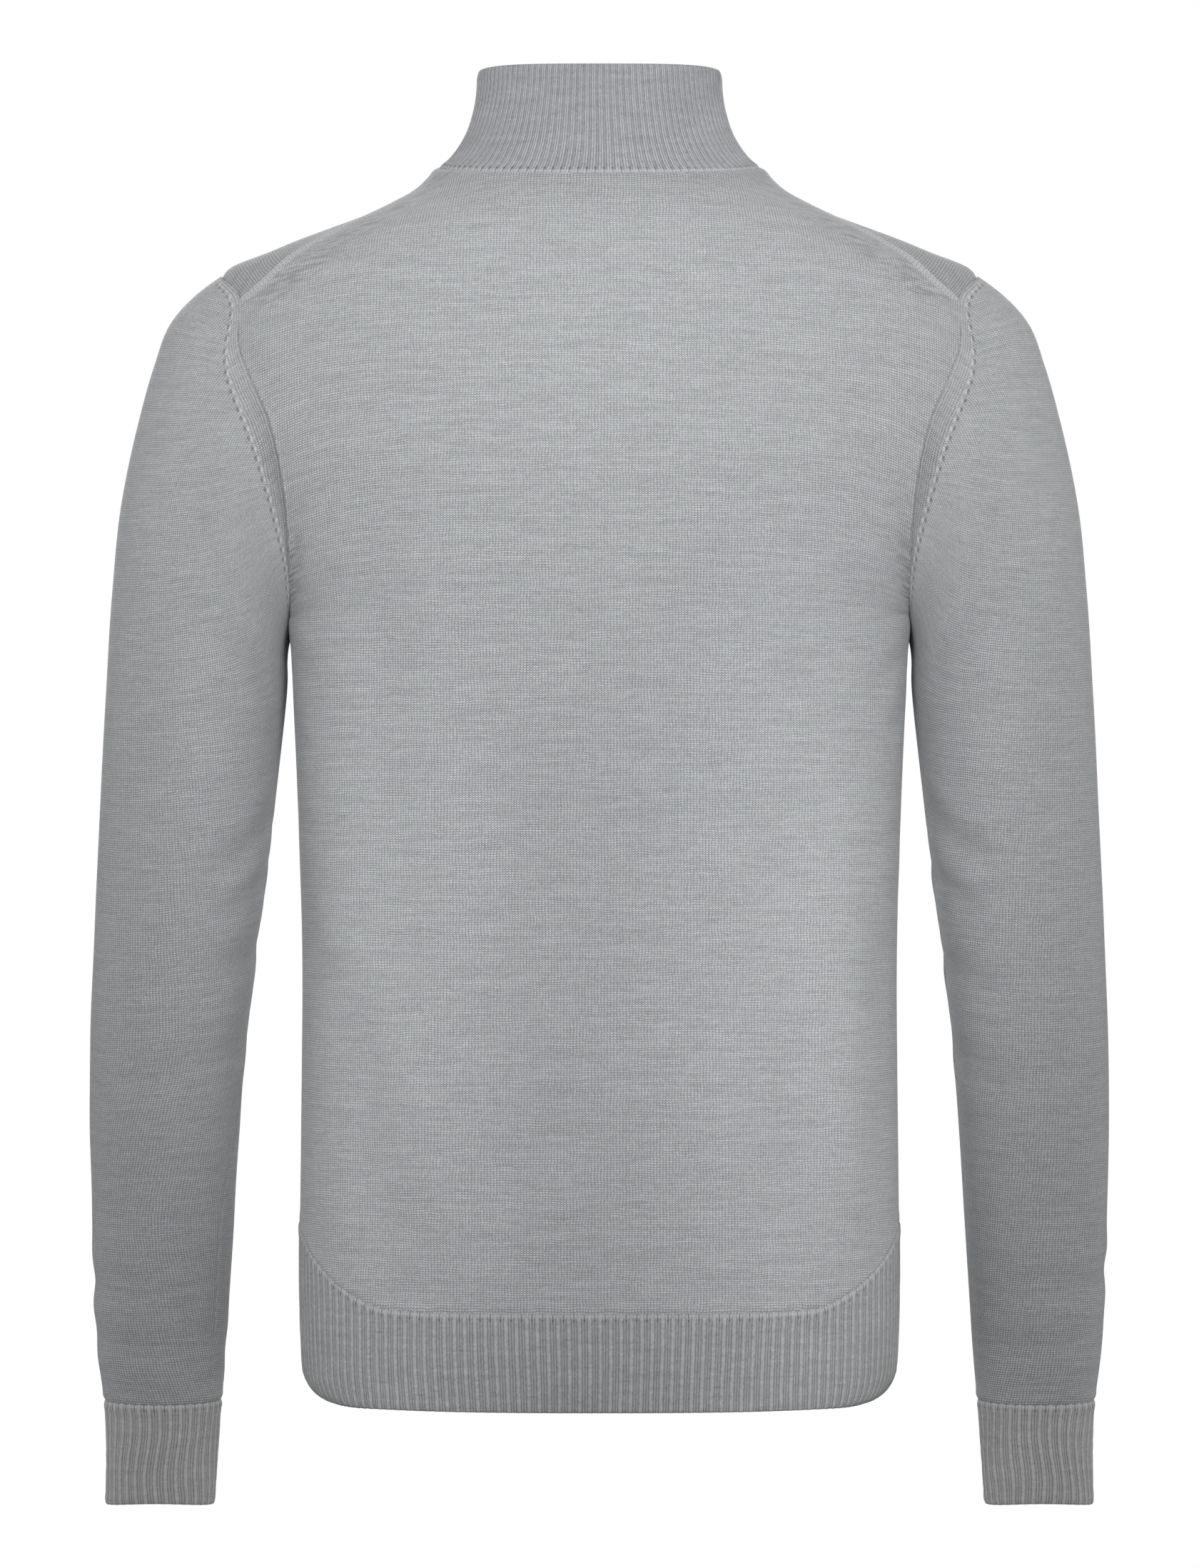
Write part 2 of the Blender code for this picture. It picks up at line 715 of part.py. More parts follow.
def zip_parts(edges, grid, tape, metal):
    line = zip_line(edges, grid)
    outer, inner = strip(line, TAPE_INNER_EDGE, TAPE_OUTER_EDGE, 0.0, TAPE_THICKNESS)
    wall("zip_tape_left", outer, inner, tape, flip=True)
    turn = np.array((-1, 1, 1))
    wall("zip_tape_right", outer * turn, inner * turn, tape)

    # The chain runs from the slider's post down to the bottom stop.
    mid = TAPE_THICKNESS / 2
    outer, inner = strip(line[:-1], -CHAIN_HALF_WIDTH, CHAIN_HALF_WIDTH,
                         mid - CHAIN_THICKNESS / 2, mid + CHAIN_THICKNESS / 2)
    axis = (outer[0].mean(axis=0) + inner[0].mean(axis=0)) / 2
    below = (outer[1].mean(axis=0) + inner[1].mean(axis=0)) / 2
    down = (below - axis) / np.linalg.norm(below - axis)
    room = POST_LENGTH + 2 * SEAM_GAP
    for skin in (outer, inner):
        skin[0] = skin[0] + down * room
    foot = (outer[-2].mean(axis=0) - outer[-1].mean(axis=0))
    foot /= np.linalg.norm(foot)
    stop_outer = outer[-2:].copy()
    stop_inner = inner[-2:].copy()
    for skin, stop in ((outer, stop_outer), (inner, stop_inner)):
        stop[0] = skin[-1] + foot * STOP_LENGTH
        stop[1] = skin[-1]
        skin[-1] = skin[-1] + foot * (STOP_LENGTH + SEAM_GAP)
    wall("zip_chain", outer, inner, metal, flip=True)
    wall("zip_bottom_stop", stop_outer, stop_inner, metal, flip=True)

    # Slider and tab are drawn upright about the pull tab's pin, then set on the
    # chain at the top of the zip, with the collar's lean.
    lean = math.atan2(down[1], -down[2])
    front_face = -(SLIDER_GAP / 2 + SLIDER_PLATE)
    pin_depth = front_face - PIN_ROOM / 2
    roof = front_face - PIN_ROOM
    length = SLIDER_LENGTH
    plate = SLIDER_PLATE
    half = SLIDER_HALF_WIDTH
    gap = SLIDER_GAP / 2
    overlap = 0.2
    legs = 1.1
    slider = joined("zip_slider", [
        ((-half, half), (-gap - plate, -gap), (-length, 0.0)),
        ((-half, half), (gap, gap + plate), (-length, 0.0)),
        ((-CHAIN_HALF_WIDTH, CHAIN_HALF_WIDTH), (-gap - overlap, gap + overlap),
         (-POST_LENGTH, 0.0)),
        ((-BRIDGE_HALF_WIDTH, BRIDGE_HALF_WIDTH), (roof - BRIDGE_ROOF, roof),
         (-length / 2 - BRIDGE_HALF_LENGTH, -length / 2 + BRIDGE_HALF_LENGTH)),
        ((-BRIDGE_HALF_WIDTH, BRIDGE_HALF_WIDTH), (roof - overlap, front_face + overlap),
         (-length / 2 - BRIDGE_HALF_LENGTH, -length / 2 - BRIDGE_HALF_LENGTH + legs)),
        ((-BRIDGE_HALF_WIDTH, BRIDGE_HALF_WIDTH), (roof - overlap, front_face + overlap),
         (-length / 2 + BRIDGE_HALF_LENGTH - legs, -length / 2 + BRIDGE_HALF_LENGTH)),
    ], metal)
    pin = PIN_SIZE / 2
    cheek = (TAB_WINDOW_HALF_WIDTH, TAB_HALF_WIDTH)
    tab = joined("zip_pull_tab", [
        ((-TAB_HALF_WIDTH, TAB_HALF_WIDTH), (-pin, pin), (-pin, pin)),
        ((-cheek[1], -cheek[0]), (-pin, pin), (-TAB_WINDOW - 1.0, pin)),
        (cheek, (-pin, pin), (-TAB_WINDOW - 1.0, pin)),
        ((-TAB_HALF_WIDTH, TAB_HALF_WIDTH), (-pin, pin), (-TAB_LENGTH, -TAB_WINDOW)),
    ], metal)
    place = bpy.data.objects.new("zip_head", None)
    bpy.context.scene.collection.objects.link(place)
    place.location = axis * MM
    place.rotation_euler = (lean, 0.0, 0.0)
    for item in [o for o in bpy.data.objects if o.name.startswith("zip_slider")]:
        item.parent = place
    for item in [o for o in bpy.data.objects if o.name.startswith("zip_pull_tab")]:
        item.parent = place
        item.location = (0.0, pin_depth * MM, -length / 2 * MM)
    return slider, tab


def build():
    for item in list(bpy.data.objects):
        bpy.data.objects.remove(item, do_unlink=True)
    jersey = plain_material("grey_jersey", (0.40, 0.405, 0.415), 0.9)
    rib = plain_material("grey_rib", (0.36, 0.365, 0.372), 0.9)
    tape = plain_material("zip_tape", (0.22, 0.225, 0.23), 0.85)
    metal = plain_material("nickel", (0.62, 0.62, 0.61), 0.3, 1.0)
    edges = torso_panels(jersey)
    hem_ribs(edges, rib)
    sleeves(jersey, rib)
    grid = collar(edges, rib)
    zip_parts(edges, grid, tape, metal)


build()
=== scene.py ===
"""Half-zip sweater in fine-gauge heathered wool, filled out as if worn.

Each knitted piece follows the outer skin of its wall in the frame, point for
point, and gets its stitches, ribs, rolled seams and creases on top of it.
Lengths are in metres, and in the lists of corners, starts and creases in mm.
"""

import math

import bmesh
import bpy
import numpy as np
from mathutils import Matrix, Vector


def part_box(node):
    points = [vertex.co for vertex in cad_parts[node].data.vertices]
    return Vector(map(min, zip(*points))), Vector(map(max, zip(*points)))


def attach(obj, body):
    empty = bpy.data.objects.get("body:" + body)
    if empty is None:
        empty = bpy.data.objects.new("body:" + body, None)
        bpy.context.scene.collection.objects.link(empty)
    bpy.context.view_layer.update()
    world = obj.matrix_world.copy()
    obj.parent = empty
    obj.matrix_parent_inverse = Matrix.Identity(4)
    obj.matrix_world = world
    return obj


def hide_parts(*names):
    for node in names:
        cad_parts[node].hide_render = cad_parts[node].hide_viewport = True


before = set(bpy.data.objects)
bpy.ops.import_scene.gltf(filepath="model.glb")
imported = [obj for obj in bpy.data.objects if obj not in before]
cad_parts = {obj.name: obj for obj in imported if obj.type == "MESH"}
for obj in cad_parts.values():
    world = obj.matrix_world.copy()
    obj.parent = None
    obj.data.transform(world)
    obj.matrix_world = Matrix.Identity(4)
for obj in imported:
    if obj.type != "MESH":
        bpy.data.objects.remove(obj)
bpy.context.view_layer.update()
bpy.ops.object.select_all(action="DESELECT")

MM = 0.001


# ------------------------------------------------------------ back panel
# The back is one piece of plain jersey, knitted to shape on a fine flat frame
# in heathered merino. Its edges turn in a little at the collar, the hem rib and
# the sides, and stand in a low welt where shoulders and armholes are linked.

RIM_EDGE = 3 * MM           # a wall's rim is narrower than this, its skins are not
JERSEY_STEP = 3 * MM
JERSEY_THICK = 1.1 * MM


def shell_skin(node, side=0):
    """Mesh of a wall's outer skin, or of its left (1) or right (-1) half."""
    bm = bmesh.new()
    bm.from_mesh(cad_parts[node].data)
    bmesh.ops.remove_doubles(bm, verts=bm.verts, dist=0.00002)
    rim = [f for f in bm.faces if min(e.calc_length() for e in f.edges) < RIM_EDGE]
    if side:
        rim += [f for f in bm.faces if f.calc_center_median().x * side < 0]
    bmesh.ops.delete(bm, geom=list(set(rim)), context="FACES")
    left = set(bm.faces)
    skins = []
    while left:
        skin = [left.pop()]
        for face in skin:
            for edge in face.edges:
                for other in edge.link_faces:
                    if other in left:
                        left.discard(other)
                        skin.append(other)
        skins.append(skin)
    skins.sort(key=lambda skin: -sum(f.calc_area() for f in skin))
    spare = [f for skin in skins[1:] for f in skin]
    bmesh.ops.delete(bm, geom=spare, context="FACES")
    return bm


def steps_from(line):
    """How many edges lie between each point of a skin and a line of its points."""
    steps = {vert: 0 for vert in line}
    queue = list(line)
    for vert in queue:
        for edge in vert.link_edges:
            other = edge.other_vert(vert)
            if other not in steps:
                steps[other] = steps[vert] + 1
                queue.append(other)
    return steps


def panel_rows(node, corners, side=0):
    """Points of a panel's outer skin in rows, from its lower edge up.

    corners are the ends of its lower and upper edges: start of the lower edge,
    its end, start of the upper edge. The nearest point of the rim is taken.
    """
    bm = shell_skin(node, side)
    rim = [v for v in bm.verts if v.is_boundary]
    start, end, above = [min(rim, key=lambda v: (v.co.x - c[0] * MM) ** 2
                             + (v.co.y - c[1] * MM) ** 2 + (v.co.z - c[2] * MM) ** 2)
                         for c in corners]

    def rim_line(goal, stop):
        for first in (e.other_vert(start) for e in start.link_edges if e.is_boundary):
            line = [start, first]
            while line[-1] not in (goal, stop, start):
                line.append(next(e.other_vert(line[-1]) for e in line[-1].link_edges
                                 if e.is_boundary and e.other_vert(line[-1]) is not line[-2]))
            if line[-1] is goal:
                return line
        raise ValueError(f"no edge of {node} runs between those corners")

    rows = steps_from(rim_line(end, above))
    columns = steps_from(rim_line(above, end))
    grid = np.full((max(rows.values()) + 1, max(columns.values()) + 1, 3), np.nan)
    for vert in rows:
        grid[rows[vert], columns[vert]] = vert.co
    bm.free()
    if np.isnan(grid).any():
        raise ValueError(f"the skin of {node} isn't a full grid")
    return grid


def smooth_through(points, at, kink=None, closed=False):
    """Smooth curves through rows of points, read at the given shares of their length.

    kink is (row, how sharp each column turns there, from 0 to 1).
    """
    if closed:
        points = np.concatenate((points[-2:], points, points[:3]))
    gaps = np.linalg.norm(np.diff(points, axis=0), axis=2).mean(axis=1)
    knots = np.concatenate(([0.0], np.cumsum(gaps)))
    slopes = np.diff(points, axis=0) / gaps[:, None, None]
    before = gaps[:-1, None, None]
    after = gaps[1:, None, None]
    middle = (slopes[:-1] * after + slopes[1:] * before) / (before + after)
    leave = np.concatenate((slopes[:1] * 1.5 - middle[:1] * 0.5, middle,
                            slopes[-1:] * 1.5 - middle[-1:] * 0.5))
    arrive = leave.copy()
    if kink:
        row, sharp = kink
        sharp = np.asarray(sharp)[:, None]
        arrive[row] = arrive[row] * (1 - sharp) + slopes[row - 1] * sharp
        leave[row] = leave[row] * (1 - sharp) + slopes[row] * sharp
    low, high = (knots[2], knots[-3]) if closed else (knots[0], knots[-1])
    places = low + np.asarray(at) * (high - low)
    i = np.clip(np.searchsorted(knots, places, side="right") - 1, 0, len(gaps) - 1)
    t = ((places - knots[i]) / gaps[i])[:, None, None]
    gap = gaps[i][:, None, None]
    return ((1 + 2 * t) * (1 - t) ** 2 * points[i] + t * (1 - t) ** 2 * gap * leave[i]
            + t * t * (3 - 2 * t) * points[i + 1] + t * t * (t - 1) * gap * arrive[i + 1])


def fine_cloth(rows, up, around, kink=None, closed=False):
    """A fine grid of points through a piece's rows, smooth both up and across."""
    cloth = smooth_through(rows, up, kink=kink)
    return smooth_through(cloth.transpose(1, 0, 2), around, closed=closed).transpose(1, 0, 2)


SEAM_STEPS = np.array([0.0, 0.7, 1.5, 2.4, 3.5, 5.0, 7.0, 9.5]) * MM


def spread(length, step, start=True, end=True):
    """Shares of a length, close together at a seam and evenly spaced between."""
    low = SEAM_STEPS if start else np.zeros(1)
    high = length - SEAM_STEPS[::-1] if end else np.full(1, length)
    count = max(1, round((high[0] - low[-1]) / step))
    middle = np.linspace(low[-1], high[0], count + 1)[1:-1]
    return np.concatenate((low, middle, high)) / length


def mean_length(points, axis):
    return np.linalg.norm(np.diff(points, axis=axis), axis=2).sum(axis=axis).mean()


def outward(points, closed=False):
    """Directions square to a fine grid of points, away from the wearer."""
    if closed:
        along = np.roll(points, -1, axis=1) - np.roll(points, 1, axis=1)
    else:
        along = np.gradient(points, axis=1)
    square = np.cross(along, np.gradient(points, axis=0))
    square /= np.linalg.norm(square, axis=2)[:, :, None]
    middle = points.mean(axis=1, keepdims=True)
    return square * np.sign(np.sum(square * (points - middle)))


def run_lengths(points, axis, start=0):
    """Length run along each row or column, counted from the one at start."""
    steps = np.linalg.norm(np.diff(points, axis=axis), axis=2)
    first = np.zeros_like(np.take(steps, [0], axis=axis))
    runs = np.cumsum(np.concatenate((first, steps), axis=axis), axis=axis)
    return runs - np.take(runs, [start], axis=axis)


def course_runs(points, across, start):
    """Length knitted up each column, leaving out its drift across the wales."""
    steps = np.diff(points, axis=0)
    drift = np.diff(across[:, :points.shape[1]], axis=0)
    rise = np.sqrt(np.maximum(np.sum(steps * steps, axis=2) - drift * drift, 0.0))
    runs = np.concatenate((np.zeros((1, rise.shape[1])), np.cumsum(rise, axis=0)))
    return runs - runs[start:start + 1]


ROLL_DEPTHS = np.array([(0.0, -0.6), (0.7, -0.25), (1.5, 0.08), (2.4, 0.32), (3.5, 0.34),
                        (5.0, 0.16), (7.0, 0.03), (9.5, 0.0)]) * MM
RIM_SPARE = 0.35 * MM


def rolled(distance):
    """Height of the knit beside a linked seam: it turns in, with a soft welt next to it."""
    return np.interp(distance, ROLL_DEPTHS[:, 0], ROLL_DEPTHS[:, 1])


def under_arm(below, beside):
    """How far cloth hangs in just below the underarm, where body and sleeve part."""
    return (1.7 * MM * np.exp(-((below - 17 * MM) / (12 * MM)) ** 2)
            * np.exp(-(beside / (26 * MM)) ** 2))


def let_out(points, closed=False):
    """Carries the rim of a fine grid on a little, so that linked pieces meet."""
    for grid in (points,) if closed else (points, points.transpose(1, 0, 2)):
        for rim, beside in ((0, 1), (-1, -2)):
            way = grid[rim] - grid[beside]
            grid[rim] += way / np.linalg.norm(way, axis=1)[:, None] * RIM_SPARE


def creased(across, along, creases):
    """Depth of creases that run between two places of a piece.

    Each row gives the ends (across and along, mm), the half width and the depth.
    """
    height = np.zeros_like(across)
    for a1, b1, a2, b2, half_width, depth in creases:
        start = np.array((a1, b1)) * MM
        run = np.array((a2, b2)) * MM - start
        x = across - start[0]
        y = along - start[1]
        share = (x * run[0] + y * run[1]) / (run @ run)
        aside = (x * run[1] - y * run[0]) / math.sqrt(run @ run) / (half_width * MM)
        fade = np.clip(np.minimum(share, 1 - share) * 3.0 + 0.35, 0.0, 1.0)
        fade = fade * fade * (3 - 2 * fade)
        ridge = 0.55 * np.exp(-(aside - 1.7) ** 2) + 0.35 * np.exp(-(aside + 1.9) ** 2)
        height += depth * MM * fade * (ridge - np.exp(-aside * aside))
    return height


def kept_inside(edge):
    """Share of a crease's depth that is kept at a distance from an edge, from 0 to 1."""
    return np.clip(edge / (40 * MM) - 0.15, 0, 1)


def knitted(name, points, across, along, thickness, material, closed=False, flip=False,
            slit=None, layers=None):
    """Makes a piece of cloth: a fine grid with a stitch map, thickened inwards.

    closed joins the last column to the first; slit leaves one column of faces
    out, and its sides join wherever they meet. layers are values for the material.
    """
    let_out(points, closed)
    rows, columns = points.shape[:2]
    here = np.array([k for k in range(columns if closed else columns - 1) if k != slit])
    after = (here + 1) % columns
    beyond = here + 1 if closed else after
    index = np.arange(rows * columns).reshape(rows, columns)
    corners = np.stack((index[:-1][:, here], index[:-1][:, after],
                        index[1:][:, after], index[1:][:, here]), axis=2)
    ways = np.stack((
        np.stack((across[:-1][:, here], along[:-1][:, here]), axis=2),
        np.stack((across[:-1][:, beyond], along[:-1][:, after]), axis=2),
        np.stack((across[1:][:, beyond], along[1:][:, after]), axis=2),
        np.stack((across[1:][:, here], along[1:][:, here]), axis=2)), axis=2)
    if flip:
        corners = corners[:, :, ::-1]
        ways = ways[:, :, ::-1]
    mesh = bpy.data.meshes.new(name)
    mesh.from_pydata(points.reshape(-1, 3), [], corners.reshape(-1, 4).tolist())
    stitches = mesh.uv_layers.new(name="Stitches")
    stitches.data.foreach_set("uv", ways.reshape(-1).astype(np.float32))
    for label, values in (layers or {}).items():
        layer = mesh.attributes.new(label, "FLOAT", "POINT")
        layer.data.foreach_set("value", values.reshape(-1).astype(np.float32))
    mesh.polygons.foreach_set("use_smooth", np.ones(len(mesh.polygons), bool))
    mesh.materials.append(material)
    if slit is not None:
        bm = bmesh.new()
        bm.from_mesh(mesh)
        bmesh.ops.remove_doubles(bm, verts=bm.verts, dist=0.00001)
        bm.to_mesh(mesh)
        bm.free()
    piece = bpy.data.objects.new(name, mesh)
    bpy.context.scene.collection.objects.link(piece)
    thick = piece.modifiers.new("cloth", "SOLIDIFY")
    thick.thickness = thickness
    thick.offset = -1.0
    bpy.context.view_layer.objects.active = piece
    bpy.ops.object.modifier_apply(modifier="cloth")
    return piece


def shade(hex_colour):
    """Linear colour of an sRGB hex value."""
    parts = [int(hex_colour[k:k + 2], 16) / 255 for k in (1, 3, 5)]
    line = [p / 12.92 if p <= 0.04045 else ((p + 0.055) / 1.055) ** 2.4 for p in parts]
    return (*line, 1.0)


def add_node(tree, kind, settings=None, links=None):
    """Adds a node, sets it, and joins or fills its inputs. A node stands for its first output.

    settings may be only the name of its operation, and links only the first inputs in turn.
    """
    node = tree.nodes.new("ShaderNode" + kind)
    if isinstance(settings, str):
        settings = {"operation": settings}
    for name, value in (settings or {}).items():
        setattr(node, name, value)
    if isinstance(links, tuple):
        links = dict(enumerate(links))
    for socket, value in (links or {}).items():
        if isinstance(value, bpy.types.Node):
            value = value.outputs[0]
        if isinstance(value, bpy.types.NodeSocket):
            tree.links.new(value, node.inputs[socket])
        else:
            node.inputs[socket].default_value = value
    return node


def knit_height(tree, across, along, course_depth=0.95):
    """Height of jersey stitches: each wale has two leaning legs that meet in a V.

    across counts wales and along counts courses. course_depth is how far the wales dip
    between two courses, from 0 to 1.
    """
    ridge = add_node(tree, "Math", "MULTIPLY", (across, math.pi))
    ridge = add_node(tree, "Math", "SINE", (ridge,))
    ridge = add_node(tree, "Math", "MULTIPLY", (ridge, ridge))
    ridge = add_node(tree, "Math", "MULTIPLY_ADD", (ridge, 0.8, 0.2))
    split = add_node(tree, "Math", "MULTIPLY", (across, 2 * math.pi))
    split = add_node(tree, "Math", "SINE", (split,))
    split = add_node(tree, "Math", "ABSOLUTE", (split,))
    split = add_node(tree, "Math", "MULTIPLY_ADD", (split, 0.2, 0.8))
    place = add_node(tree, "Math", "FRACT", (across,))
    place = add_node(tree, "Math", "SUBTRACT", (place, 0.5))
    place = add_node(tree, "Math", "ABSOLUTE", (place,))
    lean = add_node(tree, "Math", "MULTIPLY_ADD", (place, -0.9, along))
    turn = add_node(tree, "Math", "MULTIPLY", (lean, math.pi))
    turn = add_node(tree, "Math", "SINE", (turn,))
    turn = add_node(tree, "Math", "MULTIPLY", (turn, turn))
    turn = add_node(tree, "Math", "MULTIPLY_ADD", (turn, course_depth, 1 - course_depth))
    legs = add_node(tree, "Math", "MULTIPLY", (ridge, split))
    return add_node(tree, "Math", "MULTIPLY", (legs, turn)), lean


def heathered(tree, across, along, dark, light, streak):
    """Colour of yarn spun from light and dark wool: flecks, and faint streaks on the courses."""
    course = add_node(tree, "Math", "FLOOR", (along,))
    leg = add_node(tree, "Math", "MULTIPLY", (across, 2.0))
    leg = add_node(tree, "Math", "FLOOR", (leg,))
    stitch = add_node(tree, "CombineXYZ", None, (leg, course))
    fleck = add_node(tree, "TexWhiteNoise", {"noise_dimensions": "2D"}, {"Vector": stitch})
    run = add_node(tree, "Math", "MULTIPLY", (across, streak))
    jump = add_node(tree, "Math", "MULTIPLY", (course, 5.37))
    line = add_node(tree, "CombineXYZ", None, (run, jump))
    streaks = add_node(tree, "TexNoise", {"noise_dimensions": "2D"},
                       {"Vector": line, "Scale": 1.0, "Detail": 3.0, "Roughness": 0.7})
    run = add_node(tree, "Math", "MULTIPLY", (across, 0.04))
    jump = add_node(tree, "Math", "MULTIPLY", (course, 0.45))
    line = add_node(tree, "CombineXYZ", None, (run, jump))
    bars = add_node(tree, "TexNoise", {"noise_dimensions": "2D"},
                    {"Vector": line, "Scale": 1.0, "Detail": 2.0, "Roughness": 0.6})
    tone = None
    for part, low, high, share in ((fleck, 0.0, 1.0, 0.42), (streaks, 0.25, 0.75, 0.3),
                                   (bars, 0.3, 0.7, 0.28)):
        part = add_node(tree, "MapRange", {"clamp": True},
                        {"Value": part, "From Min": low, "From Max": high, "To Max": share})
        tone = part if tone is None else add_node(tree, "Math", "ADD", (tone, part))
    colour = add_node(tree, "Mix", {"data_type": "RGBA"}, {0: tone, 6: dark, 7: light})
    return colour.outputs[2]


def spots(tree, run, aside, pitch, half_length, half_width):
    """A row of soft round spots along a line, from 1 at each middle down to 0 (lengths in m)."""
    place = add_node(tree, "Math", "DIVIDE", (run, pitch))
    place = add_node(tree, "Math", "FRACT", (place,))
    place = add_node(tree, "Math", "SUBTRACT", (place, 0.5))
    place = add_node(tree, "Math", "MULTIPLY", (place, pitch / half_length))
    aside = add_node(tree, "Math", "DIVIDE", (aside, half_width))
    spot = add_node(tree, "CombineXYZ", None, (place, aside))
    spot = add_node(tree, "VectorMath", "LENGTH", (spot,)).outputs["Value"]
    return add_node(tree, "MapRange", {"interpolation_type": "SMOOTHSTEP"},
                    {"Value": spot, "From Min": 0.2, "From Max": 1.1,
                     "To Min": 1.0, "To Max": 0.0})


def shaded(tree, colour, amount, darkest):
    """Colour darkened with painted shade where an amount from 0 to 1 is high."""
    factor = add_node(tree, "Math", "MULTIPLY_ADD", (amount, darkest - 1.0, 1.0))
    return add_node(tree, "Mix", {"data_type": "RGBA", "blend_type": "MULTIPLY"},
                    {0: 1.0, 6: colour, 7: factor}).outputs[2]


def dress(tree, colour, height, strength, depth, finish):
    """Gives a cloth's shader its colour, its relief and its finish."""
    cloth = tree.nodes["Principled BSDF"]
    tree.links.new(colour, cloth.inputs["Base Color"])
    bump = add_node(tree, "Bump", None,
                    {"Strength": strength, "Distance": depth, "Height": height})
    tree.links.new(bump.outputs[0], cloth.inputs["Normal"])
    for socket, value in finish.items():
        cloth.inputs[socket].default_value = value


# Worsted merino in plain jersey of 12 gauge, each stitch 1.7 by 1.24 mm: matt,
# with a faint bloom of loose fibre, and painted shade in the gaps between the stitches.
WALE = 1.68 * MM
COURSE = 1.24 * MM
GAP_HEIGHT = 0.6            # gaps show where the stitches are lower than this
MARK_PITCH = 6.0 * MM
PIT_PITCH = 2.4 * MM

jersey = bpy.data.materials.new("merino_jersey")
jersey.use_nodes = True
tree = jersey.node_tree
map_node = add_node(tree, "UVMap", {"uv_map": "Stitches"})
stitch_map = add_node(tree, "SeparateXYZ", None, (map_node,))
seam_run = add_node(tree, "Attribute", {"attribute_name": "seam_run"}).outputs["Fac"]
from_marks = add_node(tree, "Attribute", {"attribute_name": "from_marks"}).outputs["Fac"]
from_armhole = add_node(tree, "Attribute", {"attribute_name": "from_armhole"}).outputs["Fac"]
# Between armhole and marks the wales run along the armhole.
strip = add_node(tree, "Math", "LESS_THAN", (from_marks, 0.0))
place = []
for plain_way, strip_way in ((stitch_map.outputs[0], from_armhole),
                             (stitch_map.outputs[1], seam_run)):
    place.append(add_node(tree, "Mix", None, {0: strip, 2: plain_way, 3: strip_way}))
wales = add_node(tree, "Math", "DIVIDE", (place[0], WALE))
courses = add_node(tree, "Math", "DIVIDE", (place[1], COURSE))
# The stitches wander a little from their rows.
wander = add_node(tree, "CombineXYZ", None, (wales, courses))
wander = add_node(tree, "TexNoise", {"noise_dimensions": "2D"},
                  {"Vector": wander, "Scale": 0.1, "Detail": 2.0}).outputs["Color"]
wander = add_node(tree, "SeparateXYZ", None, (wander,))
wales = add_node(tree, "Math", "MULTIPLY_ADD", (wander.outputs[0], 1.0, wales))
courses = add_node(tree, "Math", "MULTIPLY_ADD", (wander.outputs[1], 1.4, courses))
height, lean = knit_height(tree, wales, courses)
yarn = heathered(tree, wales, lean, shade("#b6b8bb"), shade("#e2e4e7"), 0.12)
# Painted shade in the gaps, where the stitches are low.
gap = add_node(tree, "MapRange", None,
               {"Value": height, "From Min": 0.0, "From Max": GAP_HEIGHT,
                "To Min": 1.0, "To Max": 0.0})
# Where the cloth is pulled tight, the painted shade in its gaps is deeper and the cloth takes a
# little more painted shade.
drawn_shade = add_node(tree, "Attribute", {"attribute_name": "drawn_shade"}).outputs["Fac"]
depth = add_node(tree, "Math", "MULTIPLY_ADD", (drawn_shade, 0.2, 1.0))
gap = add_node(tree, "Math", "MULTIPLY", (gap, depth))
knit = shaded(tree, yarn, gap, 0.46)
knit = shaded(tree, knit, drawn_shade, 0.9)
# The knit puckers beside seams that gather it: short ridges across the wales, with painted shade in
# the hollows between them.
pucker = add_node(tree, "Attribute", {"attribute_name": "pucker"}).outputs["Fac"]
ridges = add_node(tree, "VectorMath", "MULTIPLY", (map_node, (70, 470, 0)))
ridges = add_node(tree, "TexNoise", {"noise_dimensions": "2D"},
                  {"Vector": ridges, "Scale": 1.0, "Detail": 1.0})
ridges = add_node(tree, "MapRange", None, {"Value": ridges, "From Min": 0.4, "From Max": 0.62})
ridges = add_node(tree, "Math", "MULTIPLY", (ridges, pucker))
knit = shaded(tree, knit, ridges, 0.52)
# Narrowing marks on the sleeves: raised loops with a painted highlight, each with a painted shadow
# in the hollow beside it.
loops = spots(tree, seam_run, from_marks, MARK_PITCH, 2.3 * MM, 1.2 * MM)
hollow = add_node(tree, "Math", "ADD", (from_marks, -1.5 * MM))
run = add_node(tree, "Math", "ADD", (seam_run, 1.4 * MM))
hollow = spots(tree, run, hollow, MARK_PITCH, 2.2 * MM, 1.1 * MM)
faint = add_node(tree, "Math", "MULTIPLY", (loops, 0.65))
knit = add_node(tree, "Mix", {"data_type": "RGBA"},
                {0: faint, 6: knit, 7: shade("#dcdee1")}).outputs[2]
knit = shaded(tree, knit, hollow, 0.56)
# Linked shoulder edge of the back: a painted highlight along its raised welt, with two rows of
# small pits darkened by painted shade.
from_link = add_node(tree, "Attribute", {"attribute_name": "from_link"}).outputs["Fac"]
band = add_node(tree, "MapRange", {"interpolation_type": "SMOOTHSTEP"},
                {"Value": from_link, "From Min": 4.4 * MM, "From Max": 5.6 * MM,
                 "To Min": 0.55, "To Max": 0.0})
knit = add_node(tree, "Mix", {"data_type": "RGBA"},
                {0: band, 6: knit, 7: shade("#d3d4d7")}).outputs[2]
pits = None
for away, shift in ((1.7, 0.0), (3.7, 1.2)):
    aside = add_node(tree, "Math", "ADD", (from_link, -away * MM))
    run = add_node(tree, "Math", "ADD", (seam_run, shift * MM))
    spot = spots(tree, run, aside, PIT_PITCH, 0.9 * MM, 0.9 * MM)
    pits = spot if pits is None else add_node(tree, "Math", "MAXIMUM", (pits, spot))
knit = shaded(tree, knit, pits, 0.66)
